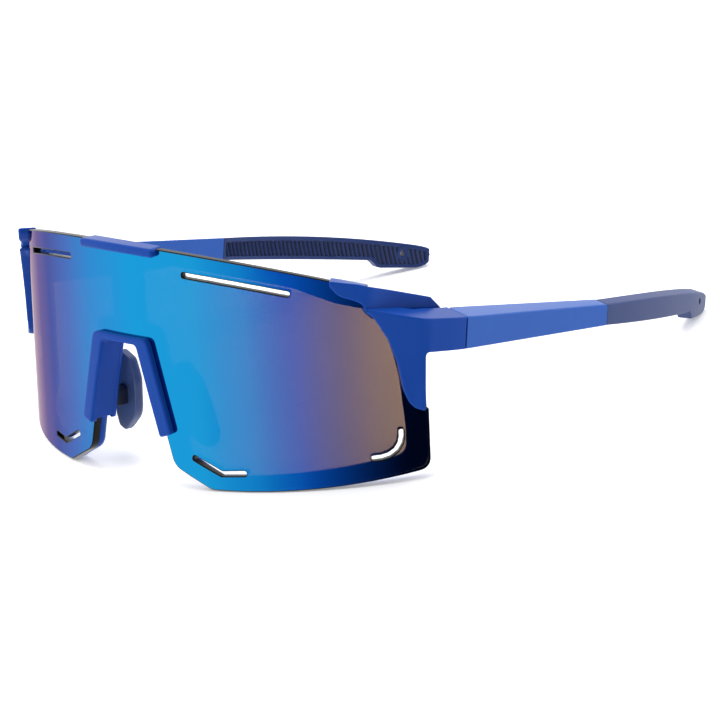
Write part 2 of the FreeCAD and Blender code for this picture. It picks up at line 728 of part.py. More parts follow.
def temple_section(body, name, sign, y, outer, width, half, lift):
    """Four-cornered section of a temple, its top face rising towards the head."""
    inner = f"({outer} - {width})"
    corners = [
        (f"{sign}*{outer}", f"{lift} - {half}"),
        (f"{sign}*{outer}", f"{lift} + {half}"),
        (f"{sign}*{inner}", f"{lift} + {half} + Sizes.crown_slope*{width}"),
        (f"{sign}*{inner}", f"{lift} - {half}"),
    ]
    return bound_outline(body, name, "XZ_Plane", corners, lengthwise(float(sheet.evalExpression(y))))


def make_temple(side, sign):
    """A rigid temple: tapered bar, fork for the hinge knuckle and tongue for the rubber tip."""
    body = new_body("temple_" + side, hinge_placement(sign))
    front = temple_section(body, "TempleFront_" + side, sign, SEAM,
                           "Sizes.temple_outer", "Sizes.temple_width", "Sizes.temple_height/2", "0")
    back = temple_section(body, "TempleBack_" + side, sign, TEMPLE_END,
                          "(Sizes.temple_outer - Sizes.temple_toe_in)", "Sizes.temple_end_width",
                          "Sizes.temple_end_height/2", "Sizes.temple_end_lift")
    bar = body.newObject("PartDesign::AdditiveLoft", "TempleBar_" + side)
    bar.Profile = front
    bar.Sections = [back]
    bar.Ruled = True
    document.recompute()
    turn = FreeCAD.Rotation(Vector(0, 0, 1), sign * size("tongue_angle"))
    tongue = {
        "Length": "Sizes.tongue_width",
        "Width": "Sizes.tongue_length + 1",
        "Height": "Sizes.tongue_height",
    }
    start = (f"{sign}*{TONGUE_X} - Sizes.tongue_width/2", f"{TEMPLE_END} - 1",
             "Sizes.temple_end_lift - Sizes.tongue_height/2 + Sizes.crown_slope*Sizes.tip_width/2")
    primitive(body, "AdditiveBox", "Tongue_" + side, tongue, start, turn)
    slot_inner = "(Sizes.temple_width - Sizes.temple_outer + 2)"
    slot_outer = "(Sizes.knuckle_radius + Sizes.hinge_clearance)"
    low_x = f"-{slot_inner}" if sign > 0 else f"-{slot_outer}"
    primitive(body, "SubtractiveBox", "ForkSlot_" + side, {
        "Length": f"{slot_inner} + {slot_outer}",
        "Width": f"{slot_outer} - {SEAM} + 1",
        "Height": f"2*{SLOT_HALF}",
    }, (low_x, f"{SEAM} - 1", f"-{SLOT_HALF}"))
    trim_outline = [
        (f"{-sign}*0.15", f"{SEAM} - 1"),
        (f"{-sign}*0.15", SEAM),
        (f"{sign}*{SEAM}*0.5", f"{SEAM}*0.866"),
        (f"{sign}*{SEAM}*0.866", f"{SEAM}*0.5"),
        (f"{sign}*{SEAM}", "0"),
        (f"{sign}*({SEAM} - 1)", "0"),
        (f"{sign}*({SEAM} - 1)", f"{SEAM} - 1"),
    ]
    trim = bound_outline(body, "ForkNose_" + side, "XY_Plane", trim_outline, FreeCAD.Placement())
    nose = body.newObject("PartDesign::Pocket", "ForkNoseCut_" + side)
    nose.Profile = trim
    nose.Midplane = True
    nose.setExpression("Length", "3*Sizes.temple_height")
    floor = "(-Sizes.temple_height/2)"
    primitive(body, "SubtractiveCylinder", "ScrewBore_" + side, {
        "Radius": "Sizes.screw_diameter/2 + Sizes.screw_clearance",
        "Height": f"Sizes.temple_height/2 - {SLOT_HALF} + 1",
    }, ("0", "0", f"{floor} - 0.5"))
    primitive(body, "SubtractiveCylinder", "HeadRecess_" + side, {
        "Radius": "Sizes.screw_head_diameter/2 + Sizes.screw_clearance",
        "Height": "Sizes.screw_head_height + 1",
    }, ("0", "0", f"{floor} - 1"))
    primitive(body, "SubtractiveCylinder", "InsertBore_" + side, {
        "Radius": "Sizes.insert_diameter/2",
        "Height": "Sizes.insert_length + 0.5",
    }, ("0", "0", f"{SLOT_HALF} - 0.5"))
    return body


TIP_STATIONS = 15


def tip_levels(share):
    """Top and bottom of the rubber tip at a share of its length, as terms of the sheet's sizes."""
    start = "Sizes.temple_end_lift"
    half = "Sizes.temple_end_height/2"
    top = f"{start} + {half} - Sizes.tip_fall*{share ** 2.4:.4f}"
    belly = min(share / 0.72, 1.0)
    heel = min(max((share - 0.70) / 0.10, 0.0), 1.0)
    heel = heel * heel * (3.0 - 2.0 * heel)
    bottom = f"{start} - {half} - Sizes.tip_belly_fall*{belly:.4f} - Sizes.heel_depth*{heel:.4f}"
    blunt = max((share - 0.93) / 0.07, 0.0)
    end_round = 1.0 - math.sqrt(max(1.0 - 0.75 * blunt ** 2, 0.0))
    top += f" - Sizes.heel_depth*{1.2 * end_round:.4f}"
    bottom += f" + Sizes.heel_depth*{1.6 * end_round:.4f}"
    return top, bottom


def make_temple_tip(side, sign):
    """A soft rubber tip that curves in behind the ear, with a heel and a strap hole."""
    body = new_body("temple_tip_" + side, hinge_placement(sign))
    begin = math.radians(size("tip_start_angle"))
    bend = math.radians(size("tip_bend"))
    bow = size("tip_length") / bend
    first_x = size("temple_outer") - size("temple_toe_in") - size("temple_end_width") / 2
    first_y = float(sheet.evalExpression(TEMPLE_END))
    spots = []
    for station in range(TIP_STATIONS):
        share = station / (TIP_STATIONS - 1)
        angle = begin + bend * share
        x = first_x - bow * (math.cos(begin) - math.cos(angle))
        y = first_y + bow * (math.sin(angle) - math.sin(begin))
        spots.append((share, x, y, math.degrees(angle)))
    sections = []
    for station, (share, x, y, angle) in enumerate(spots):
        top, bottom = tip_levels(share)
        half = "Sizes.tip_width/2"
        corners = [
            (f"{sign}*{half}", bottom),
            (f"{sign}*{half}", top),
            (f"-{sign}*{half}", f"{top} + Sizes.crown_slope*Sizes.tip_width"),
            (f"-{sign}*{half}", bottom),
        ]
        if station == 0:
            angle = 0.0
        offset = lengthwise(y, str(sign * x), sign * angle)
        sections.append(bound_outline(body, f"TipSection{station}_{side}", "XZ_Plane", corners, offset))
    bar = body.newObject("PartDesign::AdditiveLoft", "TipBar_" + side)
    bar.Profile = sections[0]
    bar.Sections = sections[1:]
    bar.Ruled = True
    document.recompute()
    primitive(body, "SubtractiveBox", "TongueSocket_" + side, {
        "Length": "Sizes.tongue_width",
        "Width": "Sizes.tongue_length + 1",
        "Height": "Sizes.tongue_height",
    }, (f"{sign}*{TONGUE_X} - Sizes.tongue_width/2", f"{TEMPLE_END} - 1",
        "Sizes.temple_end_lift - Sizes.tongue_height/2 + Sizes.crown_slope*Sizes.tip_width/2"),
        FreeCAD.Rotation(Vector(0, 0, 1), sign * size("tongue_angle")))
    place, direction = strap_hole(sign)
    primitive(body, "SubtractiveCylinder", "StrapHole_" + side, {
        "Radius": "Sizes.strap_hole_diameter/2",
        "Height": "Sizes.tip_width*3",
    }, (str(place.x), str(place.y), str(place.z)), FreeCAD.Rotation(Vector(0, 0, 1), direction))
    return body


def strap_hole(sign):
    """Start and direction of the strap hole's cutter, in the hinge's frame."""
    begin = math.radians(size("tip_start_angle"))
    bend = math.radians(size("tip_bend"))
    bow = size("tip_length") / bend
    share = 1.0 - size("strap_hole_setback") / size("tip_length")
    angle = begin + bend * share
    x = size("temple_outer") - size("temple_toe_in") - size("temple_end_width") / 2
    x -= bow * (math.cos(begin) - math.cos(angle))
    y = float(sheet.evalExpression(TEMPLE_END)) + bow * (math.sin(angle) - math.sin(begin))
    level = size("temple_end_lift") - size("tip_fall") * 0.62
    outward = Vector(sign * math.cos(angle), math.sin(angle), 0)
    start = Vector(sign * x, y, level) - outward * (1.5 * size("tip_width"))
    return start, outward


def make_hinge_screw(side, sign):
    """The screw that is the hinge's axle, put in from below."""
    body = new_body("hinge_screw_" + side, hinge_placement(sign))
    floor = "(-Sizes.temple_height/2)"
    primitive(body, "AdditiveCylinder", "ScrewHead_" + side, {
        "Radius": "Sizes.screw_head_diameter/2",
        "Height": "Sizes.screw_head_height",
    }, ("0", "0", floor))
    primitive(body, "AdditiveCylinder", "ScrewShank_" + side, {
        "Radius": "Sizes.screw_diameter/2",
        "Height": f"Sizes.temple_height/2 + {SLOT_HALF} + Sizes.insert_length",
    }, ("0", "0", floor))
    primitive(body, "SubtractiveBox", "DriverSlot_" + side, {
        "Length": "Sizes.screw_head_diameter",
        "Width": "0.4",
        "Height": "Sizes.screw_head_height",
    }, ("-Sizes.screw_head_diameter/2", "-0.2", f"{floor} - Sizes.screw_head_height/2"))
    return body


def make_hinge_insert(side, sign):
    """The threaded metal insert in the temple's upper fork, which the screw closes in."""
    body = new_body("hinge_insert_" + side, hinge_placement(sign))
    primitive(body, "AdditiveCylinder", "InsertBody_" + side, {
        "Radius": "Sizes.insert_diameter/2",
        "Height": "Sizes.insert_length",
    }, ("0", "0", SLOT_HALF))
    primitive(body, "SubtractiveCylinder", "InsertThread_" + side, {
        "Radius": "Sizes.screw_diameter/2",
        "Height": "Sizes.insert_length + 1",
    }, ("0", "0", f"{SLOT_HALF} - 0.5"))
    return body


# ---------------------------------------------------------------- build, check and write

def build():
    nodes = [make_lens(), make_front_frame(), make_nose_bridge()]
    for side, sign in SIDES:
        nodes += [
            make_nose_pad(side, sign),
            make_nose_arm(side, sign),
            make_temple(side, sign),
            make_temple_tip(side, sign),
            make_hinge_screw(side, sign),
            make_hinge_insert(side, sign),
        ]
    return nodes


def check(nodes):
    document.recompute()
    for item in document.Objects:
        if "Invalid" in item.State or "Error" in item.State:
            raise RuntimeError(f"{item.Label} failed: {item.State}")
    for node in nodes:
        if node.Shape.isNull() or not node.Shape.isValid() or len(node.Shape.Solids) != 1:
            raise RuntimeError(f"{node.Label} has no good single solid")


def write(nodes):
    os.makedirs("parts", exist_ok=True)
    for node in nodes:
        node.Shape.exportStep(f"parts/{node.Label}.step")


sub_parts = build()
check(sub_parts)
write(sub_parts)
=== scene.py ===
"""Wraparound sport sunglasses: the finished looks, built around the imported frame.

Sizes are in millimetres and are turned to metres when a mesh is placed. The front is drawn flat as
(arc, depth, rise) and then bent round the lens's leaning cylinder; the temples and their tips are
drawn in the hinge's own frame, where Y runs back along the temple and Z is the hinge axis.
"""

import json
import logging
import math
from collections.abc import Callable
from dataclasses import dataclass, field
from enum import Enum

import bmesh
import bpy
from mathutils import Matrix, Vector

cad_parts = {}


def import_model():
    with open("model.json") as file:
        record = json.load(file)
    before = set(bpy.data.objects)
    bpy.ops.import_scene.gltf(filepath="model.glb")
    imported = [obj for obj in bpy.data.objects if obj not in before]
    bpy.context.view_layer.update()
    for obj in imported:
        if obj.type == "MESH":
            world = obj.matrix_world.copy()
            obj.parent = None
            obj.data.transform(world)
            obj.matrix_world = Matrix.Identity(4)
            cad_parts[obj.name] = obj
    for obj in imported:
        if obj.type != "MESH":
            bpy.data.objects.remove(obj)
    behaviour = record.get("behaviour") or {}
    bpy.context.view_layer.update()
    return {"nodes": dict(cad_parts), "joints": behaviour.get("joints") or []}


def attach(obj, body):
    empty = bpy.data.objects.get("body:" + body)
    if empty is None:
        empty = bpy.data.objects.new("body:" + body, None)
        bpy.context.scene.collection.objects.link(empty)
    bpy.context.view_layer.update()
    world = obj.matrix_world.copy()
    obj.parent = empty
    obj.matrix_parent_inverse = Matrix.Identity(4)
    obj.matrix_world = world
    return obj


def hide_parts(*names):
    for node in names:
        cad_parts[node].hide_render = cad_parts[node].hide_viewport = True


MM = 0.001
LOG = logging.getLogger("sunglasses")

# Points closer than WELD are one, and a point within SLIM of a plane counts as on it.
WELD = 1e-4
SLIM = 1e-3

# In an outline, closer points than SHORTEST_CHORD are left out, a rounding takes up no more than
# ROUNDING_REACH of a side, and SHARPEST_TURN keeps a drawn-in corner from shooting out.
SHORTEST_CHORD = 0.02
ROUNDING_REACH = 0.48
SHARPEST_TURN = 0.5

Point = tuple[float, float]
Colour = tuple[float, float, float]
Bend = Callable[[Vector], Vector]


class Side(Enum):
    """The wearer's left is +X and the right is -X."""

    LEFT = 1
    RIGHT = -1

    @property
    def word(self) -> str:
        """The side's name as the frame's nodes spell it."""
        return self.name.lower()


# ------------------------------------------------------------------ outlines

@dataclass(frozen=True)
class Knot:
    """One corner of an outline and the radius that rounds it."""

    across: float
    up: float
    radius: float = 0.0


def rounded(knots: list[Knot], steps: int = 7) -> list[Point]:
    """Rounds the corners of a closed outline.

    Args:
        knots: The corners in order.
        steps: How many chords each rounding has.

    Returns:
        The points of the closed outline.
    """
    points: list[Point] = []
    for index, knot in enumerate(knots):
        spot = Vector((knot.across, knot.up))
        before, after = knots[index - 1], knots[(index + 1) % len(knots)]
        back = Vector((before.across, before.up)) - spot
        ahead = Vector((after.across, after.up)) - spot
        turn = math.pi - back.angle(ahead)
        if knot.radius <= 0.0 or turn < 0.02:
            points.append((spot.x, spot.y))
            continue
        room = ROUNDING_REACH * min(back.length, ahead.length)
        reach = min(knot.radius * math.tan(turn / 2), room)
        start = spot + back.normalized() * reach
        end = spot + ahead.normalized() * reach
        for step in range(steps + 1):
            share = step / steps
            near = start.lerp(spot, share).lerp(spot.lerp(end, share), share)
            points.append((near.x, near.y))
    return points


def run(height: Callable[[float], float], start: float, end: float, count: int = 9) -> list[Knot]:
    """Evenly spaced knots along height(across), for the smooth stretches of an outline."""
    spots = [start + (end - start) * step / (count - 1) for step in range(count)]
    return [Knot(across, height(across)) for across in spots]


def mirrored(half: list[Knot]) -> list[Knot]:
    """A whole outline from its right half, which goes from the top middle to the bottom middle."""
    return half + [Knot(-knot.across, knot.up, knot.radius) for knot in reversed(half)]


def flipped(knots: list[Knot], side: Side) -> list[Knot]:
    """The same outline on one side of the middle.

    Args:
        knots: The outline on the left.
        side: The side that it is wanted on.

    Returns:
        The corners, in an order that keeps the same hand.
    """
    if side is Side.LEFT:
        return knots
    return [Knot(-knot.across, knot.up, knot.radius) for knot in reversed(knots)]


def slot_knots(points: list[Point], width: float) -> list[Knot]:
    """A slot of even width along a few points, with round ends.

    Args:
        points: The middle line of the slot.
        width: How wide it is.

    Returns:
        The slot's corners.
    """
    half = width / 2
    left, right = [], []
    for index, point in enumerate(points):
        before = points[max(index - 1, 0)]
        after = points[min(index + 1, len(points) - 1)]
        ahead = Vector((after[0] - before[0], after[1] - before[1])).normalized()
        left.append((point[0] - ahead.y * half, point[1] + ahead.x * half))
        right.append((point[0] + ahead.y * half, point[1] - ahead.x * half))
    loop = left + right[::-1]
    ends = {0, len(points) - 1, len(points), len(loop) - 1}
    end_round, bend_round = 0.95 * half, 1.6 * half
    return [
        Knot(x, y, end_round if index in ends else bend_round)
        for index, (x, y) in enumerate(loop)
    ]


def drawn_in(points: list[Point], inset: float) -> list[Point]:
    """Moves the sides of a closed loop inwards, or outwards for a negative inset.

    Args:
        points: The loop.
        inset: How far each side moves.

    Returns:
        The new loop, with as many points.
    """
    after = points[1:] + points[:1]
    area = sum(here[0] * there[1] - there[0] * here[1] for here, there in zip(points, after))
    hand = 1.0 if area > 0.0 else -1.0
    moved = []
    for index, point in enumerate(points):
        here = Vector(point)
        back = (here - Vector(points[index - 1])).normalized()
        ahead = (Vector(after[index]) - here).normalized()
        along = (back + ahead).normalized()
        inward = Vector((-along.y, along.x)) * hand
        square = Vector((-back.y, back.x)) * hand
        place = here + inward * (inset / max(inward.dot(square), SHARPEST_TURN))
        moved.append((place.x, place.y))
    return moved


def eased(value: float, low: float, high: float) -> float:
    """A smooth step from 0 at low to 1 at high."""
    share = min(max((value - low) / (high - low), 0.0), 1.0)
    return share * share * (3.0 - 2.0 * share)


# ------------------------------------------------------------------ meshes

def as_object(bm: bmesh.types.BMesh, name: str, crease: float = 32.0) -> bpy.types.Object:
    """Turns a bmesh in millimetres into a smooth-shaded object at the origin.

    Args:
        bm: The mesh, which is freed.
        name: The piece's name.
        crease: Edges sharper than this many degrees stay crisp.

    Returns:
        The object, linked to the scene.
    """
    bmesh.ops.remove_doubles(bm, verts=bm.verts[:], dist=WELD)
    bmesh.ops.recalc_face_normals(bm, faces=bm.faces[:])
    bmesh.ops.scale(bm, vec=(MM, MM, MM), verts=bm.verts[:])
    mesh = bpy.data.meshes.new(name)
    bm.to_mesh(mesh)
    bm.free()
    mesh.shade_smooth()
    mesh.set_sharp_from_angle(angle=math.radians(crease))
    piece = bpy.data.objects.new(name, mesh)
    bpy.context.scene.collection.objects.link(piece)
    keep = piece.modifiers.new("EvenNormals", "WEIGHTED_NORMAL")
    keep.keep_sharp = True
    keep.weight = 60
    return piece


def cut_across(bm: bmesh.types.BMesh, faces: list | None, spot: Vector, normal: Vector) -> None:
    """Cuts faces, or the whole mesh, where a plane crosses them.

    Args:
        bm: The mesh.
        faces: The faces to cut, or None for all.
        spot: A point on the plane.
        normal: The way that the plane faces.
    """
    faces = bm.faces[:] if faces is None else faces
    edges = {edge for face in faces for edge in face.edges}
    verts = {vert for face in faces for vert in face.verts}
    bmesh.ops.bisect_plane(
        bm, geom=[*verts, *edges, *faces], dist=WELD, plane_co=spot, plane_no=normal,
    )


@dataclass
class Plate:
    """A plate that is drawn flat, in X across, Y deep and Z up, and then bent into place."""

    outline: list[Knot]
    front: float
    back: float
    holes: list[list[Knot]] = field(default_factory=list)
    front_edge: float = 0.3
    back_edge: float = 0.2
    column: float = 1.5
    row: float = 5.0
    segments: int = 3
    rounding: int = 7
    wall_slot: int = 0

    def rings(self) -> list[Point]:
        """The inset and the depth of each ring from the front face's edge to the rear's.

        Returns:
            The inset and the depth of each ring.
        """
        hand = 1.0 if self.back > self.front else -1.0
        turns = [math.pi / 2 * step / self.segments for step in range(self.segments + 1)]
        front = [
            (
                self.front_edge * (1 - math.sin(turn)),
                self.front + hand * self.front_edge * (1 - math.cos(turn)),
            )
            for turn in turns
        ]
        back = [
            (
                self.back_edge * (1 - math.cos(turn)),
                self.back - hand * self.back_edge * (1 - math.sin(turn)),
            )
            for turn in turns
        ]
        return front + back

    def loop(self, bm: bmesh.types.BMesh, knots: list[Knot], sign: float) -> tuple[list, list]:
        """Sweeps one loop from the front face to the rear with its rounded edges.

        Args:
            bm: The mesh that it goes in.
            knots: The loop's corners.
            sign: 1 for the outer edge and -1 for a hole.

        Returns:
            The loop's edges round the front face and round the rear face.
        """
        points: list[Point] = []
        for point in rounded(knots, self.rounding):
            if not points or (Vector(point) - Vector(points[-1])).length > SHORTEST_CHORD:
                points.append(point)
        if (Vector(points[0]) - Vector(points[-1])).length <= SHORTEST_CHORD:
            points.pop()
        rings = self.rings()
        across = [drawn_in(points, sign * inset) for inset, _ in rings]
        row = [bm.verts.new((x, rings[0][1], z)) for x, z in across[0]]
        edges = [bm.edges.new((vert, row[index - 1])) for index, vert in enumerate(row)]
        front = list(edges)
        for spots, (_, depth) in zip(across[1:], rings[1:]):
            order = {tuple(vert.co): index for index, vert in enumerate(row)}
            made = bmesh.ops.extrude_edge_only(bm, edges=edges)["geom"]
            fresh = [item for item in made if isinstance(item, bmesh.types.BMVert)]
            edges = [item for item in made if isinstance(item, bmesh.types.BMEdge)]
            row = [fresh[0]] * len(row)
            for vert in fresh:
                row[order[tuple(vert.co)]] = vert
            for vert, (x, z) in zip(row, spots):
                vert.co = (x, depth, z)
        return front, edges

    def solid(self) -> bmesh.types.BMesh:
        """The flat plate with its thickness, its rounded edges and its even columns and rows.

        Returns:
            The closed mesh, still flat.
        """
        bm = bmesh.new()
        loops = [self.loop(bm, self.outline, 1.0)]
        loops += [self.loop(bm, hole, -1.0) for hole in self.holes]
        for face in bm.faces:
            face.material_index = self.wall_slot
        front_rims = [edge for front, _ in loops for edge in front]
        back_rims = [edge for _, back in loops for edge in back]
        for rim in (front_rims, back_rims):
            filled = bmesh.ops.triangle_fill(bm, use_beauty=True, edges=rim)["geom"]
            for item in filled:
                if isinstance(item, bmesh.types.BMFace):
                    item.material_index = 0
        self.even_out(bm)
        bmesh.ops.recalc_face_normals(bm, faces=bm.faces[:])
        return bm

    def even_out(self, bm: bmesh.types.BMesh) -> None:
        """Swaps the filling's triangles for columns and rows that can be bent smoothly.

        Args:
            bm: The filled plate.
        """
        for axis, pitch in ((0, self.column), (2, self.row)):
            low = min(vert.co[axis] for vert in bm.verts)
            high = max(vert.co[axis] for vert in bm.verts)
            count = max(int((high - low) / pitch), 1)
            normal = Vector((1, 0, 0)) if axis == 0 else Vector((0, 0, 1))
            for index in range(1, count):
                cut_across(bm, None, normal * (low + (high - low) * index / count), normal)
            if axis == 0:
                bm.normal_update()
                inside = [
                    edge for edge in bm.edges
                    if len(edge.link_faces) == 2
                    and all(abs(face.normal.y) > 0.999 for face in edge.link_faces)
                    and abs(edge.verts[0].co.x - edge.verts[1].co.x) > SLIM
                ]
                bmesh.ops.dissolve_edges(bm, edges=inside, use_verts=False)

    def bent(self, name: str, bend: Bend, crease: float = 32.0) -> bpy.types.Object:
        """Builds the plate, bends each vertex into place and makes the object.

        Args:
            name: The piece's name.
            bend: Where each point of the flat plate goes.
            crease: Edges sharper than this many degrees stay crisp.

        Returns:
            The object.
        """
        bm = self.solid()
        for vert in bm.verts:
            vert.co = bend(vert.co)
        return as_object(bm, name, crease)


# ------------------------------------------------------------------ where things are

@dataclass(frozen=True)
class FrontCurve:
    """The leaning cylinder that the lens's outer face follows."""

    radius: float = 87.8
    tilt: float = 5.73
    setback: float = 87.38
    foot: float = 0.77

    def at(self, flat: Vector) -> Vector:
        """The place of (arc, depth behind the outer face, rise).

        Args:
            flat: A point of the flat front.

        Returns:
            Its place on the bent front.
        """
        angle = flat.x / self.radius
        radius = self.radius - flat.y
        local = Vector((radius * math.sin(angle), self.radius - radius * math.cos(angle), flat.z))
        turned = Matrix.Rotation(math.radians(-self.tilt), 3, "X") @ local
        return turned + Vector((0, -self.setback, self.foot))


class HingeFrame:
    """The hinge's own axes on one side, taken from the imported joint."""

    def __init__(self, joint: dict, side: Side) -> None:
        """Reads where the joint's axis is.

        Args:
            joint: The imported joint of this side's temple.
            side: The side that it is on.
        """
        self.side = side
        self.origin = Vector(joint["pos_m"]) / MM
        axis = Vector(joint["axis"]).normalized() * side.value
        self.slope = math.atan2(axis.y, axis.z)

    def at(self, local: Vector) -> Vector:
        """The place of a point given on the left side's axes."""
        turned = Matrix.Rotation(-self.slope, 3, "X") @ local
        return Vector((turned.x * self.side.value, turned.y, turned.z)) + self.origin

    def local(self, place: Vector) -> Vector:
        """The hinge coordinates of a place on the left side."""
        moved = place - Vector((abs(self.origin.x), self.origin.y, self.origin.z))
        return Matrix.Rotation(self.slope, 3, "X") @ moved


class PlanPath:
    """A smooth line in a hinge's plan that plates follow, measured along its length."""

    def __init__(self, spots: list[Point], start: float) -> None:
        """Joins the spots by one smooth curve.

        Args:
            spots: The plan points (x, y) in the hinge's frame.
            start: The length given to the first spot.
        """
        self.points: list[Vector] = []
        ends = [Vector(spots[0]) * 2 - Vector(spots[1]), Vector(spots[-1]) * 2 - Vector(spots[-2])]
        knots = [ends[0], *[Vector(spot) for spot in spots], ends[1]]
        for index in range(1, len(knots) - 2):
            before, here, there, after = knots[index - 1:index + 3]
            for step in range(12):
                t = step / 12
                self.points.append(0.5 * (
                    2 * here + (there - before) * t
                    + (2 * before - 5 * here + 4 * there - after) * t * t
                    + (3 * here - before - 3 * there + after) * t ** 3
                ))
        self.points.append(knots[-2])
        self.lengths = [start]
        for index in range(1, len(self.points)):
            step = (self.points[index] - self.points[index - 1]).length
            self.lengths.append(self.lengths[-1] + step)

    @property
    def end(self) -> float:
        """The length at the last spot."""
        return self.lengths[-1]

    def at(self, length: float, inward: float) -> Vector:
        """The plan point at a length, moved square to the line towards the head.

        Args:
            length: How far along the line.
            inward: How far off it, towards the head.

        Returns:
            The plan point.
        """
        index = 1
        while index < len(self.points) - 1 and self.lengths[index] < length:
            index += 1
        here, there = self.points[index - 1], self.points[index]
        ahead = (there - here).normalized()
        spot = here + ahead * (length - self.lengths[index - 1])
        return spot + Vector((-ahead.y, ahead.x)) * inward


# ------------------------------------------------------------------ finishes

class Nodes:
    """A small helper that adds and links shader nodes in one tree."""

    def __init__(self, tree: bpy.types.NodeTree) -> None:
        """Keeps the tree that the nodes go in."""
        self.tree = tree

    def add(self, kind: str, **settings: object) -> bpy.types.Node:
        """Adds a node and sets its properties, and its inputs given as in_NAME.

        Args:
            kind: The node's type, without its first word.
            settings: Its properties and inputs.

        Returns:
            The node.
        """
        node = self.tree.nodes.new("ShaderNode" + kind)
        for key, value in settings.items():
            if key.startswith("in_"):
                node.inputs[key[3:].replace("_", " ")].default_value = value
            else:
                setattr(node, key, value)
        return node

    def link(self, out: bpy.types.NodeSocket, into: bpy.types.NodeSocket) -> None:
        """Joins two sockets."""
        self.tree.links.new(out, into)


def ramp(node: bpy.types.Node, stops: list[tuple[float, Colour]]) -> None:
    """Sets the stops of a colour ramp.

    Args:
        node: The Color Ramp node.
        stops: Positions and linear colours, at least two.
    """
    elements = node.color_ramp.elements
    while len(elements) < len(stops):
        elements.new(0.5)
    for element, (position, colour) in zip(elements, stops):
        element.position = position
        element.color = (*colour, 1.0)


def grain_group() -> bpy.types.NodeTree:
    """The fine unevenness of a moulded surface, shared by all plastics and rubbers.

    Returns:
        A group that gives a height, a roughness and a tint mask over the surface.
    """
    name = "MouldedGrain"
    if name in bpy.data.node_groups:
        return bpy.data.node_groups[name]
    tree = bpy.data.node_groups.new(name, "ShaderNodeTree")
    face = tree.interface
    for label, kind in (("Vector", "NodeSocketVector"), ("Grain", "NodeSocketFloat"),
                        ("Cloud", "NodeSocketFloat"), ("Roughness", "NodeSocketFloat"),
                        ("Spread", "NodeSocketFloat")):
        face.new_socket(name=label, in_out="INPUT", socket_type=kind)
    for label in ("Height", "Roughness", "Mask"):
        face.new_socket(name=label, in_out="OUTPUT", socket_type="NodeSocketFloat")
    nodes = Nodes(tree)
    source = tree.nodes.new("NodeGroupInput")
    sink = tree.nodes.new("NodeGroupOutput")
    fine = nodes.add("TexNoise", in_Detail=3.0, in_Roughness=0.6)
    cloud = nodes.add("TexNoise", in_Detail=2.0, in_Roughness=0.5)
    for noise, scale in ((fine, "Grain"), (cloud, "Cloud")):
        nodes.link(source.outputs["Vector"], noise.inputs["Vector"])
        nodes.link(source.outputs[scale], noise.inputs["Scale"])
    centred = nodes.add("Math", operation="SUBTRACT")
    centred.inputs[1].default_value = 0.5
    nodes.link(cloud.outputs["Fac"], centred.inputs[0])
    swing = nodes.add("Math", operation="MULTIPLY_ADD")
    nodes.link(centred.outputs[0], swing.inputs[0])
    nodes.link(source.outputs["Spread"], swing.inputs[1])
    nodes.link(source.outputs["Roughness"], swing.inputs[2])
    nodes.link(fine.outputs["Fac"], sink.inputs["Height"])
    nodes.link(swing.outputs[0], sink.inputs["Roughness"])
    nodes.link(cloud.outputs["Fac"], sink.inputs["Mask"])
    return tree


@dataclass(frozen=True)
class Moulded:
    """A moulded plastic or rubber with a fine grain, a slight cloudiness and optional painted
    shade in rib grooves.
    """

    name: str
    colour: Colour
    deep: Colour
    roughness: float
    spread: float = 0.12
    grain: float = 2600.0
    cloud: float = 45.0
    bump: float = 0.05
    specular: float = 0.5
    # How strongly painted shade darkens the colour in rib grooves.
    groove_shade: float = 0.0

    def make(self) -> bpy.types.Material:
        """Builds the material, once.

        Returns:
            The material.
        """
        name = self.name + "_finish"
        if name in bpy.data.materials:
            return bpy.data.materials[name]
        material = bpy.data.materials.new(name)
        material.use_nodes = True
        nodes = Nodes(material.node_tree)
        shader = material.node_tree.nodes["Principled BSDF"]
        shader.inputs["Specular IOR Level"].default_value = self.specular
        place = nodes.add("TexCoord")
        grain = nodes.add("Group", node_tree=grain_group())
        grain.inputs["Grain"].default_value = self.grain
        grain.inputs["Cloud"].default_value = self.cloud
        grain.inputs["Roughness"].default_value = self.roughness
        grain.inputs["Spread"].default_value = self.spread
        nodes.link(place.outputs["Object"], grain.inputs["Vector"])
        tint = nodes.add("ValToRGB")
        ramp(tint, [(0.3, self.deep), (0.7, self.colour)])
        nodes.link(grain.outputs["Mask"], tint.inputs["Fac"])
        shade = tint.outputs["Color"]
        # Painted shade: the colour is darkened in the grooves, where shade falls, by the stored
        # groove depth.
        if self.groove_shade > 0.0:
            groove = nodes.add("Attribute", attribute_name="groove")
            painted_groove_darkening = nodes.add("Mix", data_type="RGBA", blend_type="MULTIPLY")
            painted_groove_darkening.inputs[7].default_value = (*[1.0 - self.groove_shade] * 3, 1.0)
            nodes.link(groove.outputs["Fac"], painted_groove_darkening.inputs[0])
            nodes.link(shade, painted_groove_darkening.inputs[6])
            shade = painted_groove_darkening.outputs[2]
        nodes.link(shade, shader.inputs["Base Color"])
        nodes.link(grain.outputs["Roughness"], shader.inputs["Roughness"])
        bump = nodes.add("Bump", in_Strength=self.bump, in_Distance=0.0001)
        nodes.link(grain.outputs["Height"], bump.inputs["Height"])
        nodes.link(bump.outputs["Normal"], shader.inputs["Normal"])
        return material


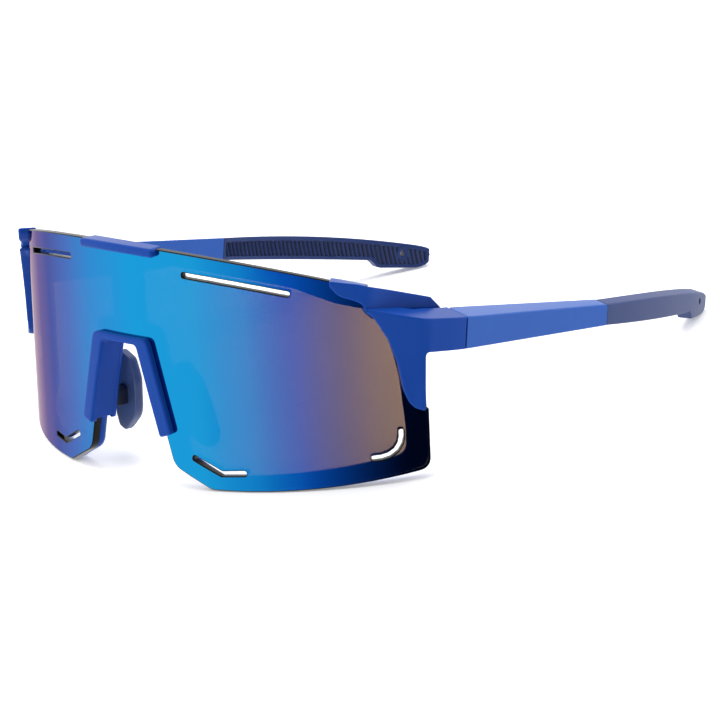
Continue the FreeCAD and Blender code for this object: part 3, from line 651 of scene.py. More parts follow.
@dataclass(frozen=True)
class MirrorLens:
    """Smoke polycarbonate behind a blue mirror coat whose colour shifts with the angle."""

    name: str = "mirror_lens"
    smoke: Colour = (0.365, 0.235, 0.165)
    coat_by_place: tuple[tuple[float, float], ...] = (
        (0.0, 0.985), (0.30, 0.97), (0.44, 0.91), (0.585, 0.85), (0.715, 0.72), (0.78, 0.61),
        (0.85, 0.54),
    )
    coat_span: float = 0.080
    coat_by_angle: tuple[tuple[float, float], ...] = (
        (0.0, 0.0), (0.08, 0.30), (0.18, 0.74), (0.32, 0.88), (0.60, 0.90), (0.85, 0.97),
        (1.0, 1.0),
    )
    coat_colours: tuple[tuple[float, Colour], ...] = (
        (0.00, (0.003, 0.095, 0.600)),
        (0.05, (0.003, 0.110, 0.610)),
        (0.09, (0.006, 0.230, 0.640)),
        (0.16, (0.010, 0.300, 0.640)),
        (0.30, (0.010, 0.310, 0.660)),
        (0.44, (0.030, 0.240, 0.600)),
        (0.56, (0.070, 0.150, 0.470)),
        (0.68, (0.080, 0.100, 0.350)),
        (0.78, (0.170, 0.125, 0.310)),
        (0.90, (0.430, 0.310, 0.400)),
        (1.00, (0.950, 0.900, 0.930)),
    )
    roughness: float = 0.045

    def make(self) -> bpy.types.Material:
        """Builds the material, once.

        Returns:
            The material.
        """
        name = self.name + "_finish"
        if name in bpy.data.materials:
            return bpy.data.materials[name]
        material = bpy.data.materials.new(name)
        material.use_nodes = True
        tree = material.node_tree
        tree.nodes.remove(tree.nodes["Principled BSDF"])
        nodes = Nodes(tree)
        facing = nodes.add("LayerWeight", in_Blend=0.5)
        slant = nodes.add("ValToRGB")
        ramp(slant, [(position, (value, value, value)) for position, value in self.coat_by_angle])
        tint = nodes.add("ValToRGB")
        ramp(tint, list(self.coat_colours))
        nodes.link(facing.outputs["Facing"], slant.inputs["Fac"])
        nodes.link(facing.outputs["Facing"], tint.inputs["Fac"])
        place = nodes.add("TexCoord")
        across = nodes.add("SeparateXYZ")
        nodes.link(place.outputs["Object"], across.inputs[0])
        aside = nodes.add("Math", operation="ABSOLUTE")
        nodes.link(across.outputs["X"], aside.inputs[0])
        spread = nodes.add("Math", operation="DIVIDE")
        spread.inputs[1].default_value = self.coat_span
        nodes.link(aside.outputs[0], spread.inputs[0])
        fade = nodes.add("ValToRGB")
        ramp(fade, [(position, (value, value, value)) for position, value in self.coat_by_place])
        nodes.link(spread.outputs[0], fade.inputs["Fac"])
        denser = nodes.add("Math", operation="MAXIMUM")
        nodes.link(slant.outputs["Color"], denser.inputs[0])
        nodes.link(fade.outputs["Color"], denser.inputs[1])
        side = nodes.add("NewGeometry")
        outward = nodes.add("Math", operation="SUBTRACT")
        outward.inputs[0].default_value = 1.0
        nodes.link(side.outputs["Backfacing"], outward.inputs[1])
        share = nodes.add("Math", operation="MULTIPLY")
        nodes.link(denser.outputs[0], share.inputs[0])
        nodes.link(outward.outputs[0], share.inputs[1])
        glass = nodes.add("Mix", data_type="RGBA")
        glass.inputs[6].default_value = (*self.smoke, 1.0)
        glass.inputs[7].default_value = (1.0, 1.0, 1.0, 1.0)
        nodes.link(side.outputs["Backfacing"], glass.inputs[0])
        grain = nodes.add("Group", node_tree=grain_group())
        grain.inputs["Grain"].default_value = 900.0
        grain.inputs["Cloud"].default_value = 30.0
        grain.inputs["Roughness"].default_value = self.roughness
        grain.inputs["Spread"].default_value = 0.02
        nodes.link(place.outputs["Object"], grain.inputs["Vector"])
        through = nodes.add("BsdfTransparent")
        nodes.link(glass.outputs[2], through.inputs["Color"])
        mirror = nodes.add("BsdfAnisotropic")
        nodes.link(tint.outputs["Color"], mirror.inputs["Color"])
        nodes.link(grain.outputs["Roughness"], mirror.inputs["Roughness"])
        mix = nodes.add("MixShader")
        nodes.link(share.outputs[0], mix.inputs["Fac"])
        nodes.link(through.outputs["BSDF"], mix.inputs[1])
        nodes.link(mirror.outputs["BSDF"], mix.inputs[2])
        nodes.link(mix.outputs["Shader"], tree.nodes["Material Output"].inputs["Surface"])
        return material


@dataclass(frozen=True)
class TurnedMetal:
    """A small turned metal part with fine tool marks."""

    name: str
    colour: Colour
    dull: Colour
    roughness: float = 0.28

    def make(self) -> bpy.types.Material:
        """Builds the material, once.

        Returns:
            The material.
        """
        name = self.name + "_finish"
        if name in bpy.data.materials:
            return bpy.data.materials[name]
        material = bpy.data.materials.new(name)
        material.use_nodes = True
        nodes = Nodes(material.node_tree)
        shader = material.node_tree.nodes["Principled BSDF"]
        shader.inputs["Metallic"].default_value = 1.0
        place = nodes.add("TexCoord")
        marks = nodes.add("TexWave", in_Scale=900.0, in_Distortion=2.0, in_Detail=2.0)
        nodes.link(place.outputs["Object"], marks.inputs["Vector"])
        tint = nodes.add("ValToRGB")
        ramp(tint, [(0.2, self.dull), (0.8, self.colour)])
        nodes.link(marks.outputs["Fac"], tint.inputs["Fac"])
        nodes.link(tint.outputs["Color"], shader.inputs["Base Color"])
        rough = nodes.add("MapRange", in_To_Min=self.roughness, in_To_Max=self.roughness + 0.15)
        nodes.link(marks.outputs["Fac"], rough.inputs["Value"])
        nodes.link(rough.outputs["Result"], shader.inputs["Roughness"])
        return material


LENS = MirrorLens()
LENS_EDGE = Moulded(
    "lens_edge", (0.005, 0.005, 0.006), (0.003, 0.003, 0.004), 0.25, specular=0.2,
)
FRAME_BLUE = Moulded(
    "frame_blue", (0.007, 0.058, 0.330), (0.006, 0.053, 0.310), 0.24, specular=0.12,
)
TEMPLE_BLUE = Moulded(
    "temple_blue", (0.009, 0.092, 0.430), (0.008, 0.086, 0.405), 0.26, specular=0.30,
)
# The tip rubber paints shade into its rib grooves, darkening them to a quarter at the deepest.
TIP_RUBBER = Moulded(
    "tip_rubber", (0.008, 0.036, 0.175), (0.007, 0.031, 0.155), 0.45, spread=0.15, bump=0.10,
    specular=0.55, groove_shade=0.75,
)
PAD_RUBBER = Moulded(
    "pad_rubber", (0.038, 0.070, 0.190), (0.034, 0.063, 0.172), 0.42, bump=0.08,
)
ARM_PLASTIC = Moulded("arm_plastic", (0.006, 0.012, 0.040), (0.005, 0.010, 0.034), 0.35)
SCREW_STEEL = TurnedMetal("screw_steel", (0.62, 0.62, 0.64), (0.42, 0.42, 0.45))
INSERT_BRASS = TurnedMetal("insert_brass", (0.72, 0.53, 0.25), (0.50, 0.35, 0.15))


def dress(piece: bpy.types.Object, finish: Moulded | MirrorLens | TurnedMetal) -> None:
    """Gives a piece its finish.

    Args:
        piece: The piece, new or carried over.
        finish: What it is made of.
    """
    if piece.data.materials:
        piece.data.materials.clear()
    piece.data.materials.append(finish.make())


# ------------------------------------------------------------------ the front's outlines

@dataclass
class FrontSizes:
    """The sizes that the lens, the frame and the nose clip share."""

    height: float = 62.0
    half_arc: float = 83.5
    brow_fall: float = 13.3
    chin_rise: float = 5.6
    corner_arc: float = 26.2
    notch_foot: Point = (15.3, 5.3)
    notch_top: Point = (6.7, 37.7)
    side_radius: float = 4.0
    lens_thickness: float = 2.1
    gap: float = 0.1
    rim_thickness: float = 2.5
    rim_inset: float = 0.12
    clip_half: float = 13.0
    clip_proud: float = 2.0
    clamp_proud: float = 2.5
    clamp_start: float = 59.7

    @property
    def rim_front(self) -> float:
        """Depth of the rim's face behind the lens."""
        return self.lens_thickness + self.gap

    @property
    def rim_back(self) -> float:
        """Depth of the rim's rear face."""
        return self.rim_front + self.rim_thickness

    def brow(self, arc: float, inset: float = 0.0) -> float:
        """Height of the lens's top edge."""
        return self.height - self.brow_fall * (arc / self.half_arc) ** 2 - inset

    def chin(self, arc: float, inset: float = 0.0) -> float:
        """Height of the lens's bottom edge outside its lowest corner."""
        share = max(arc - self.corner_arc, 0.0) / (self.half_arc - self.corner_arc)
        return self.chin_rise * share ** 2 + inset

    def notch(self, rise: float, inset: float = 0.0) -> float:
        """Half width of the nose notch at a height."""
        (foot, low), (top, high) = self.notch_foot, self.notch_top
        return foot + (top - foot) * (rise - low) / (high - low) + inset

    def notch_knots(self, inset: float) -> list[Knot]:
        """The notch from the lowest corner to the middle.

        Args:
            inset: How far outside the notch the corners lie.

        Returns:
            The corners of one half.
        """
        (foot, low), (_, high) = self.notch_foot, self.notch_top
        return [
            Knot(self.corner_arc + 0.3 * inset, inset, 3.0),
            Knot(foot + 0.6 * inset, low + 0.8 * inset, 5.0),
            Knot(self.notch(high, inset), high + inset, 2.5),
        ]


# ------------------------------------------------------------------ the lens

@dataclass
class ShieldLens:
    """The one-piece mirrored lens with its six vent slots."""

    sizes: FrontSizes
    curve: FrontCurve
    vent_width: float = 1.3
    vent_depth: float = 5.5
    clamp_wall: float = 2.2
    clamp_foot: float = 21.2
    shoulder_arc: float = 71.4
    shoulder_rise: float = 45.6
    side_rise: float = 42.0

    def outline(self) -> list[Knot]:
        """The lens's edge, stepped in where the clip and the clamps hide it.

        Returns:
            The corners of the whole edge.
        """
        s = self.sizes
        clip = s.clip_half - 1.0
        side = s.half_arc - self.clamp_wall
        return mirrored([
            Knot(clip, s.brow(0) - 1.0, 0.3),
            Knot(clip, s.brow(clip), 0.3),
            *run(s.brow, clip + 1.5, s.clamp_start + 0.9, 17),
            Knot(s.clamp_start + 1.7, s.brow(s.clamp_start, 1.3), 0.3),
            *run(lambda arc: s.brow(arc, 1.7), s.clamp_start + 3.0, self.shoulder_arc - 3.0, 4),
            Knot(self.shoulder_arc - 1.0, self.shoulder_rise, 1.5),
            Knot(side, self.side_rise, 2.0),
            Knot(side, self.clamp_foot - s.gap),
            Knot(s.half_arc, self.clamp_foot - s.gap, 0.3),
            Knot(s.half_arc, s.chin(s.half_arc), s.side_radius),
            *run(s.chin, s.half_arc - 6.0, s.corner_arc + 4.0, 13),
            *s.notch_knots(0.0),
        ])

    def vents(self) -> list[list[Knot]]:
        """The slots of the left half.

        Returns:
            Three slots' corners.
        """
        s = self.sizes
        side = s.half_arc - 7.3
        spots = [20.5, 28.0, 35.0, 42.0, 49.5]
        top = [(arc, s.brow(arc, self.vent_depth)) for arc in spots]
        inner = [(21.2, 8.2), (29.2, 4.5), (36.0, 5.0)]
        outer = [(side - 7.8, 9.0), (side - 5.2, 9.2), (side - 3.2, 9.75), (side - 1.5, 10.9),
                 (side - 0.4, 12.6), (side, 14.4), (side, 16.2)]
        return [slot_knots(points, self.vent_width) for points in (top, inner, outer)]

    def build(self) -> bpy.types.Object:
        """Makes the lens.

        Returns:
            The lens.
        """
        holes = [flipped(vent, side) for vent in self.vents() for side in Side]
        plate = Plate(
            self.outline(), 0.0, self.sizes.lens_thickness, holes,
            front_edge=0.28, back_edge=0.2, column=1.3, row=6.0, wall_slot=1,
        )
        piece = plate.bent("lens_shield", self.curve.at)
        dress(piece, LENS)
        piece.data.materials.append(LENS_EDGE.make())
        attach(piece, "front")
        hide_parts("shield_lens")
        return piece


# ------------------------------------------------------------------ the front frame

@dataclass
class FrontFrame:
    """The moulded frame: the rim behind the lens, the brow clip, the clamps and the ridges."""

    sizes: FrontSizes
    curve: FrontCurve
    hinge: dict[Side, HingeFrame]
    post_half: float = 5.5
    brow_bar: float = 4.3
    chin_bar: float = 3.3
    side_bar: float = 5.8
    clip_reach: float = 2.0
    shoulder_arc: float = 72.0
    outer: float = 5.7
    width: float = 7.6
    half_height: float = 4.1
    crown: float = 0.22
    seam: float = -2.25
    arm_level: float = 40.25
    arm_foreshortening: float = 0.9913
    clamp_foot: float = 21.2
    clamp_lead: float = 8.0
    ridge_width: float = 2.2
    ridge_setback: float = 17.5
    ridge_lead: float = 6.0
    knuckle_radius: float = 2.1
    knuckle_height: float = 3.4
    bore: float = 0.75

    def rim_outline(self) -> list[Knot]:
        """The rim's outer edge, just inside the lens's.

        Returns:
            The corners of the whole edge.
        """
        s = self.sizes
        inset, side = s.rim_inset, s.half_arc - s.rim_inset
        return mirrored([
            *run(lambda arc: s.brow(arc, inset + 0.6), 0.4, self.shoulder_arc - 3.0, 21),
            Knot(self.shoulder_arc - 0.6, 46.4, 0.5),
            Knot(side, 43.0, 1.0),
            Knot(side, s.chin(side, inset), s.side_radius),
            *run(lambda arc: s.chin(arc, inset), side - 6.0, s.corner_arc + 4.0, 13),
            *s.notch_knots(0.1),
        ])

    def window(self) -> list[Knot]:
        """The left opening of the rim.

        Returns:
            The opening's corners.
        """
        s = self.sizes
        bar, low, post = self.brow_bar, self.chin_bar, self.post_half
        side, wrap = s.half_arc - self.side_bar, s.notch_top[1]
        return [
            Knot(post, s.brow(post, bar), 2.0),
            *run(lambda arc: s.brow(arc, bar), post + 3.0, 50.0, 11),
            Knot(61.0, s.brow(61.0, bar + 1.8), 12.0),
            Knot(side - 5.2, s.brow(side, 4.2), 4.0),
            Knot(side - 1.2, 0.47 * s.height, 20.0),
            Knot(side, 0.26 * s.height, 6.0),
            Knot(side, s.chin(side, low + 1.3), 4.0),
            *run(lambda arc: s.chin(arc, low + 0.03 * (arc - 28.0)),
                 side - 6.0, s.corner_arc + 5.0, 9),
            Knot(s.corner_arc + 2.0, low, 2.0),
            Knot(s.notch(8.0) + 4.4, 8.0, 2.0),
            Knot(s.notch(wrap) + 4.4, wrap + 3.0, 2.0),
            Knot(post, wrap + 3.6, 2.0),
        ]

    def rim(self) -> bpy.types.Object:
        """The rim with its two windows.

        Returns:
            The rim.
        """
        s = self.sizes
        holes = [flipped(self.window(), side) for side in Side]
        plate = Plate(
            self.rim_outline(), s.rim_front, s.rim_back, holes, front_edge=0.2, back_edge=1.5,
            column=1.5, row=6.0,
        )
        return plate.bent("frame_rim", self.curve.at)

    def brow_clip(self) -> bpy.types.Object:
        """The clip that hooks over the middle of the lens's top edge.

        Returns:
            The clip.
        """
        s = self.sizes
        outline = mirrored([
            *run(lambda arc: s.brow(arc) + 0.3, 0.5, s.clip_half - 2.0, 5),
            Knot(s.clip_half, s.brow(s.clip_half) + 0.3, 1.3),
            Knot(s.clip_half, s.brow(s.clip_half) - self.clip_reach, 1.0),
            *run(lambda arc: s.brow(arc) - self.clip_reach, s.clip_half - 2.0, 0.5, 5),
        ])
        plate = Plate(
            outline, -s.clip_proud, s.rim_front + 0.6, front_edge=0.75, back_edge=0.2,
            column=1.3, row=0.7, segments=4,
        )
        return plate.bent("frame_brow_clip", self.curve.at)

    def plan(self, arc: float, proud: float) -> Point:
        """A point of the lens's cylinder in the left hinge's plan.

        Args:
            arc: Where on the front.
            proud: How far in front of the lens.

        Returns:
            The plan point in the hinge's frame.
        """
        level = 0.66 * self.sizes.height
        spot = self.hinge[Side.LEFT].local(self.curve.at(Vector((arc, -proud, level))))
        return spot.x, spot.y

    def shelf(self, x: float) -> float:
        """Height of the arm's top face in the hinge's frame, which climbs towards the head."""
        return self.half_height + self.crown * (self.outer - x)

    def clamp_front(self) -> list[Point]:
        """The clamp's edge over the lens, from the arm's tip down to the foot.

        Returns:
            The points of the edge.
        """
        side = self.sizes.half_arc
        return [(side - 15.4, 48.0), (side - 13.1, 45.6), (side - 9.9, 40.0), (side - 7.8, 33.5),
                (side - 6.5, 26.4), (side - 5.4, 23.6), (side - 3.8, 21.9),
                (side - 1.2, self.clamp_foot)]

    def top_line(self, arc: float) -> float:
        """Rise of the clamp's and the arm's top edge on the outer face.

        Args:
            arc: Where on the front or along the arm.

        Returns:
            The rise of the edge.
        """
        join = self.sizes.half_arc + 3.0
        straight = eased(arc, self.sizes.half_arc - 1.0, join)
        level = self.arm_level + self.half_height / self.arm_foreshortening
        return self.rise_for(min(arc, join)) * (1.0 - straight) + level * straight

    def side_bend(self, side: Side) -> tuple[Bend, float]:
        """How a side clamp's plate is bent round the front and back along the arm.

        Args:
            side: The side that it is on.

        Returns:
            The bend, and the length at which the arm ends at the seam.
        """
        s, hinge = self.sizes, self.hinge[Side.LEFT]
        proud = s.clamp_proud
        leave, join = s.half_arc - 5.0, s.half_arc + 3.0
        start = leave - self.clamp_lead
        spots = [self.plan(arc, proud) for arc in (start, leave - 4.0, leave, leave + 4.0)]
        spots += [(self.outer - 0.35, self.seam - 6.0), (self.outer - 0.08, self.seam - 2.5),
                  (self.outer, self.seam)]
        path = PlanPath(spots, start)
        stretch = (s.half_arc + proud) / s.half_arc

        def bend(flat: Vector) -> Vector:
            """Places a point of the flat clamp and arm.

            Args:
                flat: The point.

            Returns:
                Its place.
            """
            share = eased(flat.x, leave, join)
            front = hinge.local(self.curve.at(Vector((flat.x, flat.y - proud, flat.z))))
            length = start + (flat.x - start) * stretch
            inward = flat.y * self.width / (s.rim_back + proud)
            plan = path.at(min(length, path.end), inward)
            rise = (flat.z - self.arm_level) * self.arm_foreshortening
            rear = Vector((plan.x, plan.y, rise))
            spot = front.lerp(rear, share)
            below = self.top_line(flat.x) - flat.z
            close = 1.0 - eased(below, 0.6, 3.0)
            spot.z += close * (self.shelf(spot.x) - below - spot.z)
            return self.hinge[side].at(spot)

        end = start + (path.end - start) / stretch
        return bend, end

    def rise_for(self, arc: float, height: float | None = None) -> float:
        """Rise on the clamp's outer face at which a height in the hinge's frame is reached.

        Args:
            arc: Where on the front.
            height: The height, or None for the arm's top face there.

        Returns:
            The rise.
        """
        proud, hinge = self.sizes.clamp_proud, self.hinge[Side.LEFT]
        below, above = 40.0, 50.0
        low = hinge.local(self.curve.at(Vector((arc, -proud, below))))
        high = hinge.local(self.curve.at(Vector((arc, -proud, above))))
        height = self.shelf(low.x) if height is None else height
        return below + (above - below) * (height - low.z) / (high.z - low.z)

    def side_clamp(self, side: Side) -> bpy.types.Object:
        """The clamp beside the lens and the arm that runs back from it to the seam.

        Args:
            side: The side that it is on.

        Returns:
            The clamp with its arm.
        """
        s = self.sizes
        bend, end = self.side_bend(side)
        half = self.half_height / self.arm_foreshortening
        top, bottom = self.arm_level + half, self.arm_level - half
        outline = [
            *run(self.top_line, s.half_arc - 14.4, end - 1.5, 17),
            Knot(end, top),
            Knot(end, bottom),
            Knot(s.half_arc - 0.3, bottom - 0.1, 1.3),
            Knot(s.half_arc, self.clamp_foot, 0.5),
            *[Knot(arc, rise, 3.0) for arc, rise in reversed(self.clamp_front())],
        ]
        plate = Plate(
            outline, 0.0, s.rim_back + s.clamp_proud, front_edge=0.45, back_edge=0.4,
            column=1.2, row=3.0, segments=4,
        )
        return plate.bent(f"frame_side_clamp_{side.word}", bend)

    def ridge_bend(self, side: Side) -> tuple[Bend, float]:
        """How the ridge's plate follows the front and then runs straight back beside the arm.

        Args:
            side: The side that it is on.

        Returns:
            The bend, and the length at which the ridge ends.
        """
        s, hinge = self.sizes, self.hinge[Side.LEFT]
        proud = s.clamp_proud
        leave = s.half_arc - self.ridge_setback
        start = leave - self.ridge_lead
        spots = [self.plan(arc, proud) for arc in (start, leave - 3.0, leave, leave + 2.4)]
        spots += [(-4.9, -20.0), (-4.0, -12.0), (-3.0, -2.75)]
        path = PlanPath(spots, start)
        stretch = (s.half_arc + proud) / s.half_arc
        deep = s.lens_thickness + proud

        def bend(flat: Vector) -> Vector:
            """Places a point of the flat ridge.

            Args:
                flat: The point.

            Returns:
                Its place.
            """
            share = eased(flat.x, leave - 5.0, leave + 1.0)
            slim = eased(flat.x, leave - 4.0, leave + 6.0)
            depth = flat.y * (1.0 - slim + slim * self.ridge_width / deep)
            front = hinge.local(self.curve.at(Vector((flat.x, depth - proud, flat.z))))
            length = start + (flat.x - start) * stretch
            plan = path.at(min(length, path.end), depth)
            base = hinge.local(self.curve.at(Vector((min(flat.x, leave), -proud, flat.z))))
            rear = Vector((plan.x, plan.y, base.z))
            return self.hinge[side].at(front.lerp(rear, share))

        end = start + (path.end - start) / stretch
        return bend, end

    def ridge(self, side: Side) -> bpy.types.Object:
        """The ridge over the lens's upper corner that runs back along the arm's inner edge.

        Args:
            side: The side that it is on.

        Returns:
            The ridge.
        """
        s = self.sizes
        bend, end = self.ridge_bend(side)
        leave = s.half_arc - self.ridge_setback
        hump, shoulder, tail, foot = (
            self.rise_for(leave, height) for height in (10.9, 8.35, 5.6, 3.5)
        )
        start = s.clamp_start
        outline = [
            Knot(start, s.brow(start) + 0.5, 0.9),
            *run(lambda arc: s.brow(arc) + 0.5 + 0.06 * (arc - start),
                 start + 2.0, leave + 1.0, 4),
            Knot(leave + 9.0, hump, 20.0),
            Knot(end - 3.4, shoulder, 0.6),
            Knot(end, tail),
            Knot(end, foot),
            Knot(leave + 9.0, foot),
            Knot(s.half_arc - 12.0, 45.6, 1.0),
            Knot(s.half_arc - 14.2, 47.2, 1.0),
            Knot(s.half_arc - 17.4, 50.0, 8.0),
            Knot(s.half_arc - 21.6, 51.7, 5.0),
            Knot(start + 0.1, 54.2, 1.5),
        ]
        plate = Plate(
            outline, 0.0, s.lens_thickness + s.clamp_proud, front_edge=0.5, back_edge=0.3,
            column=1.2, row=3.0, segments=4,
        )
        return plate.bent(f"frame_ridge_{side.word}", bend)

    def knuckle(self, side: Side) -> bpy.types.Object:
        """The eye that the hinge screw passes through, with the web that joins it to the arm.

        Args:
            side: The side that it is on.

        Returns:
            The knuckle.
        """
        radius, back = self.knuckle_radius, self.seam - 1.0
        inner = self.outer - self.width + 0.02
        outline = [
            Knot(radius, back), Knot(radius, 0.0, radius), Knot(radius, radius, radius),
            Knot(-radius, radius, radius), Knot(-radius, 0.0, radius), Knot(inner, self.seam, 0.4),
            Knot(inner, back),
        ]
        around = [
            Knot(self.bore * math.cos(turn), self.bore * math.sin(turn))
            for turn in (math.tau * step / 24 for step in range(24))
        ]
        half = self.knuckle_height / 2
        plate = Plate(
            outline, -half, half, [around], front_edge=0.15, back_edge=0.15, column=9.0, row=9.0,
        )
        hinge = self.hinge[side]

        def upright(flat: Vector) -> Vector:
            """Stands the flat eye up round the hinge's axis."""
            return hinge.at(Vector((flat.x, flat.z, -flat.y)))

        return plate.bent(f"frame_knuckle_{side.word}", upright)

    def build(self) -> list[bpy.types.Object]:
        """Makes every piece of the frame.

        Returns:
            The pieces, the rim first.
        """
        pieces = [self.rim(), self.brow_clip()]
        for side in Side:
            pieces += [self.side_clamp(side), self.ridge(side), self.knuckle(side)]
        for piece in pieces:
            dress(piece, FRAME_BLUE)
            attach(piece, "front")
        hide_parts("front_frame")
        return pieces


# ------------------------------------------------------------------ the nose piece

@dataclass
class NosePiece:
    """The clip in the nose notch, its two arms and the two soft pads."""

    sizes: FrontSizes
    curve: FrontCurve
    proud: float = 2.0
    back: float = 1.4
    leg: float = 3.7
    foot: float = 13.2
    wall: float = 1.4
    pad_size: tuple[float, float, float] = (11.5, 3.0, 23.0)
    pad_place: tuple[float, float, float] = (11.3, -73.28, 18.0)
    pad_splay: float = 18.0
    pad_flare: float = 12.0
    pad_crown: float = 0.4
    arm_size: tuple[float, float, float] = (3.0, 5.0, 5.0)

    def inner(self, rise: float) -> float:
        """Half width of the clip's opening at a height."""
        return self.sizes.notch(rise) - 0.5 * self.wall - 0.5 * rise / self.sizes.notch_top[1]

    def flange_outline(self, leg: float) -> list[Knot]:
        """The inverted U that shows over the lens.

        Args:
            leg: How wide each leg is.

        Returns:
            The corners of the whole U.
        """
        top = self.sizes.notch_top[1] - self.wall
        return mirrored([
            Knot(self.inner(top) + leg, top + self.wall + 0.4, 2.2),
            Knot(self.inner(self.foot) + leg, self.foot + 0.8, 1.2),
            Knot(self.inner(self.foot), self.foot - 0.4, 0.8),
            Knot(self.inner(top), top, 1.5),
        ])

    def wall_outline(self) -> list[Knot]:
        """The wall that lines the notch.

        Returns:
            The corners of the whole wall.
        """
        s = self.sizes
        top, foot = s.notch_top[1] - self.wall, self.foot + 0.6
        return mirrored([
            Knot(s.notch(top + 1.2) - s.gap, s.notch_top[1] - s.gap, 2.4),
            Knot(s.notch(foot) - s.gap, foot, 0.3),
            Knot(self.inner(foot) + 0.02, foot, 0.3),
            Knot(self.inner(top) + 0.02, top + 0.02, 1.5),
        ])

    def clip(self) -> list[bpy.types.Object]:
        """The flange over the lens, the wall through the notch and the flange behind the rim.

        Returns:
            The three plates, the front flange first.
        """
        s = self.sizes
        rear = s.rim_back + s.gap
        flange = Plate(
            self.flange_outline(self.leg), -self.proud, -s.gap, front_edge=0.7, back_edge=0.15,
            column=1.0, row=3.0, segments=5,
        )
        wall = Plate(
            self.wall_outline(), 0.8 - self.proud, rear + self.back, front_edge=0.2, back_edge=0.4,
            column=1.0, row=3.0,
        )
        behind = Plate(
            self.flange_outline(self.leg - 1.2), rear, rear + self.back,
            front_edge=0.2, back_edge=0.5, column=1.0, row=3.0,
        )
        return [
            flange.bent("nose_clip_flange", self.curve.at),
            wall.bent("nose_clip_wall", self.curve.at),
            behind.bent("nose_clip_rear", self.curve.at),
        ]

    def pad_matrix(self, side: Side) -> Matrix:
        """Where a pad's own axes lie.

        Args:
            side: The side that it is on.

        Returns:
            The matrix from the pad's axes to the frame's.
        """
        x, y, z = self.pad_place
        splay = Matrix.Rotation(math.radians(self.pad_splay * side.value), 4, "Z")
        flare = Matrix.Rotation(math.radians(-self.pad_flare * side.value), 4, "Y")
        return Matrix.Translation((x * side.value, y, z)) @ splay @ flare

    def pad(self, side: Side) -> bpy.types.Object:
        """One soft pad: a D-shaped cushion with a crowned face.

        Args:
            side: The side that it is on.

        Returns:
            The pad.
        """
        wide, thick, tall = (size / 2 for size in self.pad_size)
        hand = side.value
        knots = [
            Knot(hand * wide * 0.55, tall, 1.4), Knot(hand * wide, tall * 0.45, 6.0),
            Knot(hand * wide, -tall * 0.75, 3.0), Knot(hand * wide * 0.7, -tall, 1.4),
            Knot(hand * wide * 0.1, -tall, 3.0), Knot(-hand * wide, -tall * 0.35, 8.0),
            Knot(-hand * wide, tall * 0.55, 5.0), Knot(-hand * wide * 0.45, tall, 2.0),
        ]
        face = thick - self.pad_crown
        plate = Plate(
            knots, face, -thick, front_edge=1.0, back_edge=0.45, column=0.7, row=0.9, segments=5,
        )
        matrix = self.pad_matrix(side)

        def crowned(flat: Vector) -> Vector:
            """Raises the middle of the face and turns the pad into place.

            Args:
                flat: A point of the flat pad.

            Returns:
                Its place.
            """
            middle = max(1.0 - (flat.x / wide) ** 2, 0.0) * max(1.0 - (flat.z / tall) ** 2, 0.0)
            front = eased(flat.y, 0.0, face)
            return matrix @ Vector((flat.x, flat.y + self.pad_crown * middle * front, flat.z))

        return plate.bent(f"pad_cushion_{side.word}", crowned, crease=60.0)

    def arm(self, side: Side) -> bpy.types.Object:
        """The stiff arm between the clip and a pad.

        Args:
            side: The side that it is on.

        Returns:
            The arm.
        """
        wide, reach, tall = self.arm_size
        knots = [Knot(-wide / 2, -tall / 2, 0.5), Knot(wide / 2, -tall / 2, 0.5),
                 Knot(wide / 2, tall / 2, 0.5), Knot(-wide / 2, tall / 2, 0.5)]
        plate = Plate(knots, -reach, 0.0, front_edge=0.2, back_edge=0.1, column=1.0, row=1.5)
        matrix = self.pad_matrix(side)
        return plate.bent(f"pad_arm_{side.word}", lambda flat: matrix @ flat)

    def build(self) -> list[bpy.types.Object]:
        """Makes the clip, the arms and the pads.

        Returns:
            The pieces, the clip first.
        """
        clip = self.clip()
        for piece in clip:
            dress(piece, FRAME_BLUE)
            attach(piece, "front")
        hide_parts("nose_bridge")
        pieces = list(clip)
        for side in Side:
            arm, pad = self.arm(side), self.pad(side)
            dress(arm, ARM_PLASTIC)
            dress(pad, PAD_RUBBER)
            for piece in (arm, pad):
                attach(piece, "front")
            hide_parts(f"nose_arm_{side.word}")
            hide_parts(f"nose_pad_{side.word}")
            pieces += [arm, pad]
        return pieces


# ------------------------------------------------------------------ the temples

